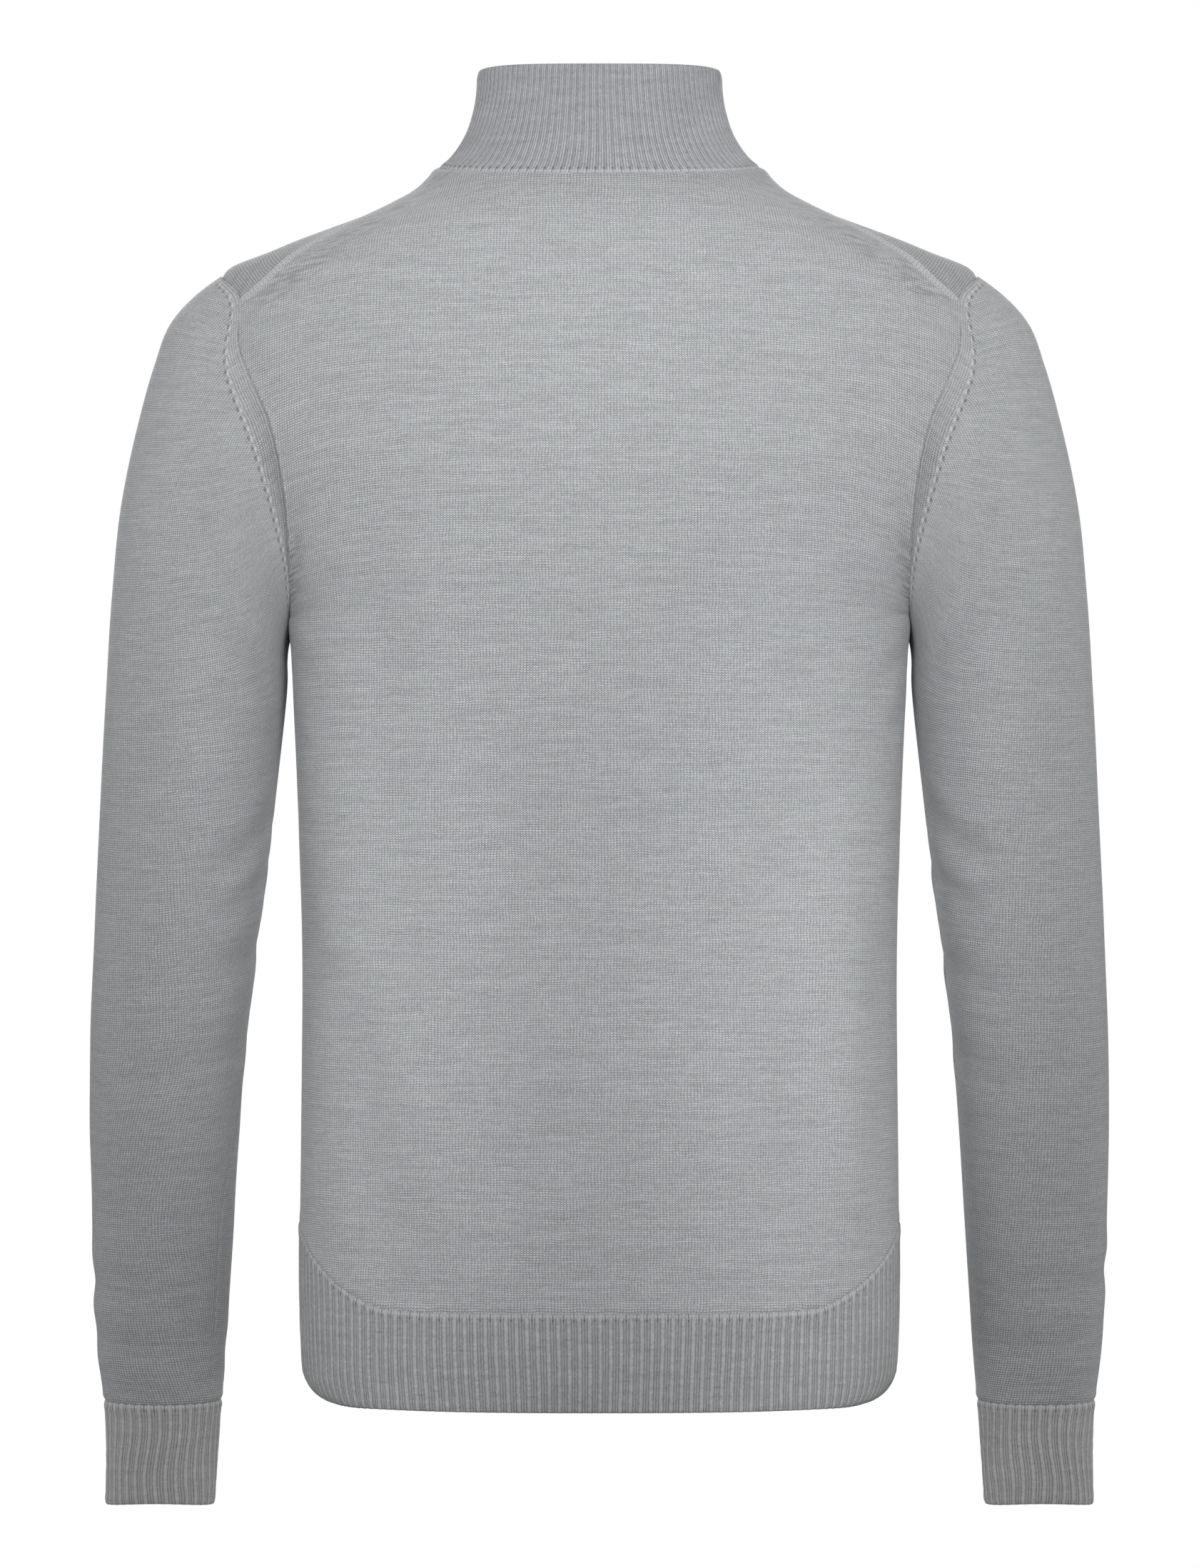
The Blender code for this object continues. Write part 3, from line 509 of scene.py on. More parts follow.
rise = add_node(tree, "Math", "MULTIPLY_ADD", (loops, 1.6, height))
rise = add_node(tree, "Math", "MULTIPLY_ADD", (hollow, -1.2, rise))
rise = add_node(tree, "Math", "MULTIPLY_ADD", (pits, -0.9, rise))
rise = add_node(tree, "Math", "MULTIPLY_ADD", (ridges, -2.2, rise))
dress(tree, knit, rise, 0.6, 0.4 * MM, {"Roughness": 0.88, "Specular IOR Level": 0.25,
                                        "Sheen Weight": 0.4, "Sheen Roughness": 0.5})

BACK_CORNERS = ((-166, 0, -587), (166, 0, -587), (-90, 12, 0))
BACK_UNDERARM_ROW = 10      # rows of the wall's points, counted from the hem rib
BACK_SHOULDER_ROW = 19
ARMHOLE_WELT = 0.3 * MM
SHOULDER_WELT = 0.35 * MM
# Soft creases of the back: ends (across, up from the underarm), half width, depth, all in mm
BACK_CREASES = (
    (-216, -8, -164, -34, 7.0, 1.1),
    (-218, -26, -176, -66, 6.0, 0.9),
    (-222, 34, -184, 22, 4.0, 0.7),
    (-224, 18, -182, 4, 3.5, 0.6),
    (217, -6, 168, -30, 7.0, 1.0),
    (219, -30, 180, -74, 6.5, 0.9),
    (223, 30, 180, 20, 4.0, 0.6),
    (226, 12, 186, 0, 3.5, 0.6),
    (-92, -110, -110, -352, 22.0, 4.4),
    (-38, 30, -52, -240, 24.0, 3.0),
    (62, -40, 40, -330, 24.0, 3.4),
    (128, 60, 104, -250, 22.0, 2.8),
    (150, -190, 112, -366, 18.0, 3.2),
    (-176, -150, -168, -330, 18.0, 1.6),
    (186, -130, 168, -300, 18.0, 1.5),
    (-216, -118, -156, -126, 7.0, 0.8),
    (-214, -152, -170, -150, 6.0, 0.6),
    (216, -106, 166, -116, 7.0, 0.7),
    (-150, 108, -60, 128, 15.0, 1.4),
    (150, 112, 78, 126, 14.0, 1.2),
    (-96, 176, -150, 150, 9.0, 0.8),
    (94, 178, 148, 148, 9.0, 0.8),
)

# How much it puckers beside the armhole, by the distance up from the underarm
PUCKER_UP = np.array([(-40 * MM, 0.0), (0, 0.8), (45 * MM, 1.0), (80 * MM, 0.5), (110 * MM, 0.0)])

rows = panel_rows("back_panel", BACK_CORNERS)
sharp = np.clip(np.abs(np.linspace(-1, 1, rows.shape[1])) * 5 - 4, 0, 1)
up = spread(mean_length(rows, 0), JERSEY_STEP)
round_body = spread(mean_length(rows, 1), JERSEY_STEP)
cloth = fine_cloth(rows, up, round_body, kink=(BACK_SHOULDER_ROW, sharp))
across = run_lengths(cloth, 1, cloth.shape[1] // 2)
middle = rows[BACK_UNDERARM_ROW, rows.shape[1] // 2, 2]
underarm = int(np.argmin(np.abs(cloth[:, cloth.shape[1] // 2, 2] - middle)))
along = course_runs(cloth, across, underarm)
from_left = run_lengths(cloth, 1)
from_right = -run_lengths(cloth, 1, -1)
beside = np.minimum(from_left, from_right)
below = run_lengths(cloth, 0)
above = -run_lengths(cloth, 0, -1)
seam_run = np.where(from_left < from_right, below[:, :1], below[:, -1:])
shoulder_row = int(np.argmin(np.linalg.norm(cloth[:, 0] - rows[BACK_SHOULDER_ROW, 0], axis=1)))
shoulder = np.arange(len(cloth))[:, None] >= shoulder_row
# from_link: distance from the linked shoulder edge, where the material paints a highlight on the
# welt and shade in the pits.
from_link = np.where(shoulder, beside, 1.0)
underarm_row = int(np.argmin(np.linalg.norm(cloth[:, 0] - rows[BACK_UNDERARM_ROW, 0], axis=1)))
side_seam = np.arange(len(cloth))[:, None] < underarm_row
lift = np.where(side_seam, 0.5 * rolled(beside), 0.0) + rolled(below) + rolled(above)
lift += np.where(side_seam | shoulder, 0.0, ARMHOLE_WELT * np.exp(-(beside / (1.5 * MM)) ** 2))
lift += np.where(shoulder, SHOULDER_WELT * np.exp(-((beside - 2.8 * MM) / (1.9 * MM)) ** 2), 0.0)
up_armhole = below - below[underarm_row:underarm_row + 1]
lift -= under_arm(-up_armhole, beside)
lift += creased(across, along, BACK_CREASES) * kept_inside(beside)
cloth += outward(cloth) * lift[:, :, None]
# It puckers beside the lower armhole, and less along the shoulder seams; the material gives the
# puckers bumps and painted shade.
pucker = np.interp(up_armhole, PUCKER_UP[:, 0], PUCKER_UP[:, 1])
pucker = pucker * np.exp(-(beside / (13 * MM)) ** 2)
pucker += np.where(shoulder, 0.55, 0.0) * np.exp(-((beside - 16 * MM) / (12 * MM)) ** 2)
# Painted shade along the upper edge, where the cloth is pulled over the shoulders.
drawn_shade = 0.8 * np.clip(1 - above / (32 * MM), 0, 1)
back_piece = knitted("back_knit", cloth, across, along, JERSEY_THICK, jersey,
                     layers={"from_link": from_link, "seam_run": seam_run, "pucker": pucker,
                             "from_marks": np.ones_like(beside), "drawn_shade": drawn_shade,
                             "from_armhole": 0 * beside})
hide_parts("back_panel")
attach(back_piece, "sweater")


# ----------------------------------------------------------- front panel
# The front is one jersey panel with a short slit for the zip. Over each
# shoulder it wraps to the back, where it is linked to the back's slanted edge.

FRONT_CORNERS = ((0, -113, -631), (166, 0, -587), (90, 12, 0))
FRONT_UNDERARM_ROW = 10     # rows of the wall's points, counted from the hem rib
FRONT_SLIT_ROW = 13
FRONT_NECK_ROW = 18
FRONT_CREASES = (
    (208, -10, 156, -42, 7.0, 1.3),
    (210, -30, 168, -80, 6.0, 0.9),
    (-207, -6, -158, -32, 7.0, 1.2),
    (-210, -24, -172, -78, 6.5, 1.0),
    (84, 30, 66, -320, 26.0, 2.6),
    (-40, -50, -30, -350, 28.0, 2.2),
    (-128, 50, -104, -260, 24.0, 2.8),
    (178, -140, 150, -340, 20.0, 1.8),
    (-172, -120, -150, -330, 19.0, 1.9),
    (246, -112, 188, -122, 7.0, 0.8),
    (-246, -102, -186, -110, 7.0, 0.7),
    (20, 62, 96, 34, 12.0, 1.2),
    (-18, 58, -88, 40, 11.0, 1.0),
    (118, 176, 30, 96, 13.0, 1.4),
    (-120, 170, -34, 90, 13.0, 1.6),
    (-16, 10, -70, -24, 10.0, 1.1),
)


def both_halves(half, turn=1):
    """Joins the mirrored half of a grid to the half itself."""
    return np.concatenate((half[:, ::-1] * turn, half), axis=1)


half = panel_rows("front_panel", FRONT_CORNERS, side=1)
slit_top = half[FRONT_NECK_ROW, 0].copy()
sharp = np.clip(1 - np.linspace(0, 3, half.shape[1]), 0, 1)
up = spread(mean_length(half, 0), JERSEY_STEP)
round_body = spread(mean_length(half, 1), JERSEY_STEP)
fine = fine_cloth(half, up, round_body, kink=(FRONT_NECK_ROW, sharp))
slit_foot = int(np.argmin(np.linalg.norm(fine[:, 0] - half[FRONT_SLIT_ROW, 0], axis=1)))
neck_row = int(np.argmin(np.linalg.norm(fine[:, 0] - slit_top, axis=1)))
fine[:slit_foot, 0, 0] = 0.0
fine[slit_foot:neck_row, 0, 0] = slit_top[0]
square = outward(fine)
square[:slit_foot, 0, 0] = 0.0
from_neck = run_lengths(fine, 1)
half_across = from_neck + fine[:, :1, 0]
middle = int(np.argmin(np.abs(fine[:, 0, 2] - half[FRONT_UNDERARM_ROW, 0, 2])))
half_along = course_runs(fine, half_across, middle)
turn = np.array((-1, 1, 1))
cloth = both_halves(fine, turn)
square = both_halves(square, turn)
across = both_halves(half_across, -1)
along = both_halves(half_along)
from_edge = -run_lengths(fine, 1, -1)
open_edge = from_neck.copy()
open_edge[:slit_foot] = 1.0
above = -run_lengths(fine, 0, -1)
below = run_lengths(fine, 0)
side_seam = np.arange(len(fine))[:, None] < middle
lift = np.where(side_seam, 0.5 * rolled(from_edge), 0.0) + rolled(open_edge) + rolled(below)
lift += 0.3 * rolled(above) - under_arm(below[middle:middle + 1] - below, from_edge)
lift = both_halves(lift)
lift += creased(across, along, FRONT_CREASES) * both_halves(kept_inside(from_edge))
cloth += square * lift[:, :, None]
# Painted shade over the shoulders, where the cloth is pulled tight, fading out towards the middle
# of the front.
drawn_shade = np.clip(1.4 - above / (40 * MM), 0, 1) * np.clip(from_neck / (60 * MM), 0, 1)
# Puckers beside the zip opening, with bumps and painted shade from the material.
gather = 0.7 * np.exp(-(open_edge / (7 * MM)) ** 2)
plain = np.ones_like(across)
front_piece = knitted("front_knit", cloth, across, along, JERSEY_THICK, jersey,
                      slit=fine.shape[1] - 1,
                      layers={"from_link": plain, "seam_run": plain, "from_marks": plain,
                              "pucker": both_halves(gather), "from_armhole": 0 * plain,
                              "drawn_shade": both_halves(drawn_shade)})
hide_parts("front_panel")
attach(front_piece, "sweater")


# --------------------------------------------------------------- sleeves
# Each sleeve is jersey, knitted to shape and closed by one seam along the
# underarm, then linked into the armhole. Narrowing marks follow the armhole.

SLEEVE_START = (173.8, 0, -253)
SLEEVE_TOWARDS = (172, 30, -250)
SLEEVE_CREASES = {
    "left": (
        (-60, 60, 70, 96, 8.0, 1.0),
        (-168, 332, -96, 300, 9.0, 1.5),
        (-164, 296, -100, 282, 8.0, 1.2),
        (170, 318, 104, 292, 9.0, 1.3),
        (-160, 255, -88, 246, 9.0, 1.0),
        (158, 262, 92, 250, 9.0, 1.1),
        (-140, 205, -74, 192, 10.0, 0.9),
        (146, 214, 70, 204, 10.0, 0.9),
        (40, 400, 22, 150, 22.0, 0.9),
        (-82, 470, -40, 250, 20.0, 0.9),
        (-168, 392, -120, 440, 9.0, 1.3),
        (166, 390, 118, 436, 9.0, 1.2),
        (-100, 26, -20, 40, 8.0, 0.9),
        (96, 30, 24, 22, 8.0, 0.8),
    ),
    "right": (
        (62, 66, -64, 88, 8.0, 1.0),
        (167, 336, 98, 308, 9.0, 1.4),
        (162, 300, 106, 284, 8.0, 1.2),
        (-170, 312, -100, 290, 9.0, 1.4),
        (158, 248, 84, 240, 9.0, 1.1),
        (-160, 258, -96, 244, 9.0, 1.0),
        (144, 200, 78, 186, 10.0, 0.9),
        (-142, 210, -76, 198, 10.0, 0.9),
        (-36, 410, -20, 170, 22.0, 0.9),
        (86, 460, 44, 240, 20.0, 0.8),
        (168, 396, 122, 446, 9.0, 1.3),
        (-166, 388, -114, 430, 9.0, 1.2),
        (98, 30, 16, 38, 8.0, 0.8),
        (-94, 24, -26, 30, 8.0, 0.9),
    ),
}
# Row of narrowing marks: how far round the armhole from its top, and how far from its seam
SLEEVE_MARKS = np.array([(26, 2.6), (60, 5.0), (95, 12.0), (130, 14.0), (160, 12.0),
                         (185, 8.5), (215, 4.0)]) * MM
# Where the sleeve sinks in beside the armhole: how far round from its top, and how deep
SLEEVE_TUCK = np.array([(50, 0.0), (110, 2.4), (165, 4.4), (200, 3.0), (225, 0.0)]) * MM


def tube_rows(node, start_mm, towards_mm):
    """Points of a tube's outer skin in rings, from the ring nearest a point on.

    Each ring starts on the line of points that leaves start, and runs round
    the way that leads towards the second point.
    """
    bm = shell_skin(node)
    start, towards = (np.array(place) * MM for place in (start_mm, towards_mm))

    def nearest(verts, place):
        return min(verts, key=lambda v: float(np.sum((np.array(v.co) - place) ** 2)))

    first = nearest([v for v in bm.verts if v.is_boundary], start)
    ring = [first]
    for vert in ring:
        for edge in vert.link_edges:
            if edge.is_boundary and edge.other_vert(vert) not in ring:
                ring.append(edge.other_vert(vert))
    level = steps_from(ring)
    rings = []
    for k in range(max(level.values()) + 1):
        line = [first]
        near = [e.other_vert(first) for e in first.link_edges]
        line.append(nearest([v for v in near if level[v] == k], towards))
        while True:
            near = [e.other_vert(line[-1]) for e in line[-1].link_edges]
            ahead = [v for v in near if level[v] == k and v not in line[-2:]]
            if ahead[0] is first:
                break
            line.append(ahead[0])
        rings.append([v.co for v in line])
        near = [e.other_vert(first) for e in first.link_edges]
        near = [v for v in near if level[v] == k + 1]
        if near:
            first = nearest(near, np.array(first.co))
            drop = np.array(first.co) - np.array(line[0].co)
            towards = np.array(line[1].co) + drop
    bm.free()
    return np.array(rings, float)


for side, way in (("left", 1), ("right", -1)):
    turn = (way, 1, 1)
    rings = tube_rows(f"sleeve_{side}", np.multiply(SLEEVE_START, turn),
                      np.multiply(SLEEVE_TOWARDS, turn))
    rings = rings[::-1]
    girth = np.linalg.norm(rings - np.roll(rings, 1, axis=1), axis=2).sum(axis=1).mean()
    up = spread(mean_length(rings, 0), JERSEY_STEP)
    cloth = fine_cloth(rings, up, spread(girth, JERSEY_STEP)[:-1], closed=True)
    hoop = np.concatenate((cloth, cloth[:, :1]), axis=1)
    opposite = hoop.shape[1] // 2
    across = run_lengths(hoop, 1, opposite)
    along = course_runs(cloth, across, 0)
    along = np.concatenate((along, along[:, :1]), axis=1)
    from_armhole = -run_lengths(cloth, 0, -1)
    around_armhole = np.abs(across[-1:, :-1])
    from_cuff = run_lengths(cloth, 0)
    beside = np.minimum(run_lengths(hoop, 1), -run_lengths(hoop, 1, -1))[:, :-1]
    lift = rolled(from_cuff) + 0.6 * rolled(beside)
    lift += creased(across[:, :-1] * way, along[:, :-1], SLEEVE_CREASES[side])
    lift -= under_arm(from_armhole, beside)
    marks = np.interp(around_armhole, *SLEEVE_MARKS.T)
    tuck = np.interp(around_armhole, *SLEEVE_TUCK.T)
    lift -= tuck * np.exp(-((from_armhole - 0.5 * marks) / (0.3 * marks + 1.2 * MM)) ** 2)
    cloth += outward(cloth, closed=True) * lift[:, :, None]
    # from_marks: distance from the narrowing marks, where the material paints a highlight on each
    # loop and a shadow beside it.
    from_marks = from_armhole - marks
    from_marks = np.where(around_armhole > SLEEVE_MARKS[0, 0], from_marks, 1.0)
    # Painted shade on the strip between armhole and marks, round the lower armhole.
    drawn_shade = np.clip(0.3 - from_marks / (4 * MM), 0, 1)
    drawn_shade = drawn_shade * np.interp(around_armhole, (100 * MM, 150 * MM), (0, 1))
    piece = knitted(f"sleeve_knit_{side}", cloth, across, along, JERSEY_THICK, jersey,
                    closed=True, flip=way < 0,
                    layers={"from_link": np.ones_like(from_marks), "from_marks": from_marks,
                            "from_armhole": from_armhole, "pucker": 0 * from_marks,
                            "seam_run": around_armhole + 0 * from_marks, "drawn_shade": drawn_shade})
    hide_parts(f"sleeve_{side}")
    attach(piece, "sweater")


# -------------------------------------------------------- hem rib, back and front
# Two welts in a wide rib, linked to the lower edges of the panels. One wale in
# three stands proud, and the two between it lie back, darkened with painted shade.

RIB_PITCH = 5.6 * MM
RIB_THICK = 1.5 * MM
RIB_RISE = 0.75 * MM
COLUMNS_A_RIB = 7


def rib_cloth(name, pitch, proud, dark, light):
    """Heathered wool in rib stitch, three wales to a repeat.

    It reads how far each place stands proud (0 to 1), and how far it is from the linking line.
    """
    cloth = bpy.data.materials.new(name)
    cloth.use_nodes = True
    tree = cloth.node_tree
    map_node = add_node(tree, "UVMap", {"uv_map": "Stitches"})
    place = add_node(tree, "SeparateXYZ", None, (map_node,))
    wales = add_node(tree, "Math", "DIVIDE", (place.outputs[0], pitch / 3))
    courses = add_node(tree, "Math", "DIVIDE", (place.outputs[1], COURSE))
    height, lean = knit_height(tree, wales, courses, 0.2)
    yarn = heathered(tree, wales, lean, dark, light, 0.25)
    # Painted shade in the gaps between the stitches.
    gap = add_node(tree, "MapRange", None, {"Value": height, "From Min": 0.0,
                                            "From Max": GAP_HEIGHT, "To Min": 1.0, "To Max": 0.0})
    knit = shaded(tree, yarn, gap, 0.45)
    # The wales that lie back are darkened with painted shade, by the share proud.
    stand = add_node(tree, "Attribute", {"attribute_name": "stand"}).outputs["Fac"]
    back = add_node(tree, "Math", "SUBTRACT", (1.0, stand))
    knit = shaded(tree, knit, back, 1.0 - proud)
    # Linking leaves a row of small knobs with a painted highlight, and past it a row of holes
    # between the ribs with painted shade.
    from_link = add_node(tree, "Attribute", {"attribute_name": "from_link"}).outputs["Fac"]
    aside = add_node(tree, "Math", "ADD", (from_link, -3.2 * MM))
    run = add_node(tree, "Math", "ADD", (place.outputs[0], pitch / 2))
    hole = spots(tree, run, aside, pitch, 0.9 * MM, 1.1 * MM)
    knit = shaded(tree, knit, hole, 0.55)
    aside = add_node(tree, "Math", "ADD", (from_link, -1.3 * MM))
    knobs = spots(tree, run, aside, pitch / 2, 1.2 * MM, 1.2 * MM)
    faint = add_node(tree, "Math", "MULTIPLY", (knobs, 0.6))
    knit = add_node(tree, "Mix", {"data_type": "RGBA"}, {0: faint, 6: knit, 7: light}).outputs[2]
    rise = add_node(tree, "Math", "SUBTRACT", (height, hole))
    rise = add_node(tree, "Math", "ADD", (rise, knobs))
    dress(tree, knit, rise, 0.5, 0.35 * MM, {"Roughness": 0.9, "Specular IOR Level": 0.25,
                                             "Sheen Weight": 0.35, "Sheen Roughness": 0.5})
    return cloth


def wale(share, middle, half_width):
    """Rounded profile of one wale across a rib repeat."""
    aside = np.abs(share - middle)
    aside = np.minimum(aside, 1 - aside)
    return np.exp(-(aside / half_width) ** 2)


def rib_profile(phase):
    """How far a wide rib stands proud across its repeat: one full wale and two low ones."""
    return wale(phase, 0.5, 0.17) + 0.24 * wale(phase, 1 / 6, 0.1) + 0.24 * wale(phase, 5 / 6, 0.1)


# Merino in rib, matt like the jersey; its yarn is darker, as painted shade for the recessed wales.
rib = rib_cloth("merino_rib", RIB_PITCH, 0.18, shade("#a1a2a4"), shade("#c9cbcc"))

HEM_CORNERS = ((-166, 0, -684), (166, 0, -684), (-166, 0, -587))
HEM_STEP = 4 * MM
HEM_CORNER_RISE = 17 * MM
HEM_CORNER_DRAW = 0.09

for side in ("back", "front"):
    rows = panel_rows(f"hem_rib_{side}", HEM_CORNERS)
    length = mean_length(rows, 1)
    ribs = round(length / RIB_PITCH)
    shares = np.linspace(0, 1, ribs * COLUMNS_A_RIB + 1)
    cloth = fine_cloth(rows, spread(mean_length(rows, 0), HEM_STEP), shares)
    along = run_lengths(cloth, 0)
    across = (shares - 0.5)[None, :] * ribs * RIB_PITCH + np.zeros_like(along)
    sway = np.sin(along / (17 * MM) + across / (31 * MM)) + np.sin(across / (52 * MM) + 1.3)
    across = across + MM * sway * (0.25 + 0.5 * np.abs(2 * shares - 1))[None, :]
    phase = np.mod(across / RIB_PITCH + 0.5 * (ribs % 2), 1.0)
    stand = rib_profile(phase)
    from_link = -run_lengths(cloth, 0, -1)
    lift = RIB_RISE * (stand - 0.6) + rolled(from_link) + 0.5 * rolled(along)
    ends = np.minimum(shares, 1 - shares)[None, :] * length + np.zeros_like(along)
    lift += 0.6 * rolled(ends)
    cloth += outward(cloth) * lift[:, :, None]
    # The welt draws in round the corners of its lower edge.
    low = np.clip(1 - along / HEM_CORNER_RISE, 0, 1)
    outer = np.clip(np.abs(cloth[:, :, 0]) / (55 * MM) - 2, 0, 1)
    cloth[:, :, 0] *= 1 - HEM_CORNER_DRAW * (1 - np.sqrt(1 - low * low)) * outer * outer
    piece = knitted(f"hem_knit_{side}", cloth, across + 0.5 * (ribs % 2) * RIB_PITCH, along,
                    RIB_THICK, rib, flip=side == "front",
                    layers={"stand": np.clip(stand, 0, 1), "from_link": from_link})
    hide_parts(f"hem_rib_{side}")
    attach(piece, "sweater")


# ----------------------------------------------------------------- cuffs
# Each cuff is a tube of rib as wide as the hem's, linked to the sleeve and open
# at the wrist. Its ribs waver, because the sleeve is gathered into it.

CUFF_START = (216.2, -41, -692)
CUFF_TOWARDS = (220, -25, -692)
CUFF_STEP = 3 * MM
MOUTH_BEND = 40 * MM
MOUTH_RISE = 4 * MM

# Paler than the hem's rib, whose darker yarn is painted shade, so that the cuffs look no darker
# than the sleeves.
cuff_rib = rib_cloth("merino_cuff_rib", RIB_PITCH, 0.18, shade("#b9b9b9"), shade("#dedede"))

for side, way in (("left", 1), ("right", -1)):
    rings = tube_rows(f"cuff_{side}", np.multiply(CUFF_START, (way, 1, 1)),
                      np.multiply(CUFF_TOWARDS, (way, 1, 1)))[::-1]
    girth = np.linalg.norm(rings - np.roll(rings, 1, axis=1), axis=2).sum(axis=1).mean()
    ribs = round(girth / RIB_PITCH)
    shares = np.linspace(0, 1, ribs * COLUMNS_A_RIB + 1)
    cloth = fine_cloth(rings, spread(mean_length(rings, 0), CUFF_STEP), shares[:-1], closed=True)
    along = run_lengths(np.concatenate((cloth, cloth[:, :1]), axis=1), 0)
    around = shares[None, :] * 2 * math.pi + np.zeros_like(along)
    across = shares[None, :] * ribs * RIB_PITCH
    across = across + MM * (0.9 * np.sin(along / (9 * MM) + 3 * way * np.sin(around))
                            + 0.6 * np.sin(along / (15 * MM) + 2 * around))
    phase = np.mod(across / RIB_PITCH, 1.0)
    stand = rib_profile(phase)
    from_link = -run_lengths(cloth, 0, -1)
    lift = RIB_RISE * (stand[:, :-1] - 0.6) + rolled(from_link) + 0.5 * rolled(along[:, :-1])
    cloth += outward(cloth, closed=True) * lift[:, :, None]
    # The mouth rises a little at front and back, as it hangs flattened.
    low = np.clip(1 - along[:, :-1] / MOUTH_BEND, 0, 1)
    aside = cloth[:, :, 1] - cloth[:, :, 1].mean(axis=1, keepdims=True)
    cloth[:, :, 2] += MOUTH_RISE * low * (aside / np.abs(aside).max()) ** 2
    piece = knitted(f"cuff_knit_{side}", cloth, across, along, RIB_THICK, cuff_rib,
                    closed=True, flip=way < 0,
                    layers={"stand": np.clip(stand[:, :-1], 0, 1), "from_link": from_link})
    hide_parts(f"cuff_{side}")
    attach(piece, "sweater")


# ---------------------------------------------------------------- collar
# The stand collar is a band of fine rib, open at the front for the zip. Its
# ribs fan out where it flares to the neck seam, which is linked through a row
# of small open loops.

COLLAR_PITCH = 4.15 * MM
COLUMNS_A_FINE_RIB = 6
COLLAR_STEP = 3 * MM
COLLAR_THICK = 1.7 * MM
COLLAR_RIB_RISE = 0.5 * MM
COLLAR_SIDE_RISE = 6.8 * MM
COLLAR_CORNERS = ((-4.2, -78, -52), (4.2, -78, -52), (-4.2, -61, 22))

# Its yarn is as dark as the hem's rib, as painted shade for the recessed wales, which take a larger
# share of it.
collar_rib = rib_cloth("merino_fine_rib", COLLAR_PITCH, 0.26, shade("#a1a2a6"), shade("#c9cace"))
rows = panel_rows("collar", COLLAR_CORNERS)
length = mean_length(rows, 1)
ribs = round(length / COLLAR_PITCH)
shares = np.linspace(0, 1, ribs * COLUMNS_A_FINE_RIB + 1)
cloth = fine_cloth(rows, spread(mean_length(rows, 0), COLLAR_STEP), shares)
along = run_lengths(cloth, 0)
across = (shares - 0.5)[None, :] * ribs * COLLAR_PITCH + np.zeros_like(along)
across = across + 0.3 * MM * np.sin(along / (11 * MM) + across / (23 * MM))
across = across + 0.5 * (ribs % 2) * COLLAR_PITCH
phase = np.mod(across / COLLAR_PITCH, 1.0)
stand = wale(phase, 1 / 6, 0.13) + wale(phase, 1 / 2, 0.13)
from_link = along
lift = COLLAR_RIB_RISE * (stand - 0.6) + rolled(from_link)
lift += 0.6 * rolled(-run_lengths(cloth, 0, -1))
ends = np.minimum(shares, 1 - shares)[None, :] * length + np.zeros_like(along)
lift += 0.8 * rolled(ends)
cloth += outward(cloth) * lift[:, :, None]
# The band stands a little higher over the shoulders than at the nape.
up = along / along.max(axis=0)
depth = cloth[:, :, 1] / np.abs(cloth[:, :, 1]).max(axis=1, keepdims=True)
cloth[:, :, 2] += COLLAR_SIDE_RISE * up * (1 - np.clip(np.abs(depth * 1.02), 0, 1) ** 2)
piece = knitted("collar_knit", cloth, across, along, COLLAR_THICK, collar_rib, flip=True,
                layers={"stand": np.clip(stand, 0, 1), "from_link": from_link})
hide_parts("collar")
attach(piece, "sweater")


# ------------------------------------------------------------------- zip
# A metal zip closes the neck. Its two woven tapes are sewn behind the edges of
# the collar and the front, and each carries a row of teeth clamped to its edge.

# Polyester tape, woven in a fine herringbone: slightly smoother than the knit.
THREAD = 0.5 * MM
PICK = 0.6 * MM

tape_cloth = bpy.data.materials.new("polyester_zip_tape")
tape_cloth.use_nodes = True
tree = tape_cloth.node_tree
map_node = add_node(tree, "UVMap", {"uv_map": "Stitches"})
place = add_node(tree, "SeparateXYZ", None, (map_node,))
threads = add_node(tree, "Math", "DIVIDE", (place.outputs[0], THREAD))
picks = add_node(tree, "Math", "DIVIDE", (place.outputs[1], PICK))
height = knit_height(tree, threads, picks)[0]
fleck = add_node(tree, "TexNoise", {"noise_dimensions": "2D"}, {"Vector": map_node, "Scale": 900.0})
yarn = add_node(tree, "Mix", {"data_type": "RGBA"},
                {0: fleck, 6: shade("#85878b"), 7: shade("#a3a5a9")}).outputs[2]
# Painted shade between the threads.
gap = add_node(tree, "Math", "SUBTRACT", (1.0, height))
yarn = shaded(tree, yarn, gap, 0.7)
dress(tree, yarn, height, 0.5, 0.12 * MM, {"Roughness": 0.72, "Specular IOR Level": 0.4,
                                           "Sheen Weight": 0.15})

TAPE_THICK = 0.6 * MM
TAPE_COLUMNS = 8
TAPE_REACH = 0.141          # share of its width by which a tape reaches behind the teeth
TAPE_CORNERS = ((-1.5, -124, -212), (-12, -124, -214), (-1.5, -59.9, 21.5))

rows = panel_rows("zip_tape_right", TAPE_CORNERS)
rows = smooth_through(rows, spread(mean_length(rows, 0), 3 * MM, start=False, end=False))
from_top = -run_lengths(rows, 0, -1)[:, :1]
# The two edges all but meet behind the teeth, and part round the slider's post.
inner = -TAPE_REACH * np.clip(from_top / (3 * MM) - 1.4, 0, 1)
shares = inner + (1 - inner) * np.linspace(0, 1, TAPE_COLUMNS)
right_tape = rows[:, :1] + (rows[:, 1:] - rows[:, :1]) * shares[:, :, None]

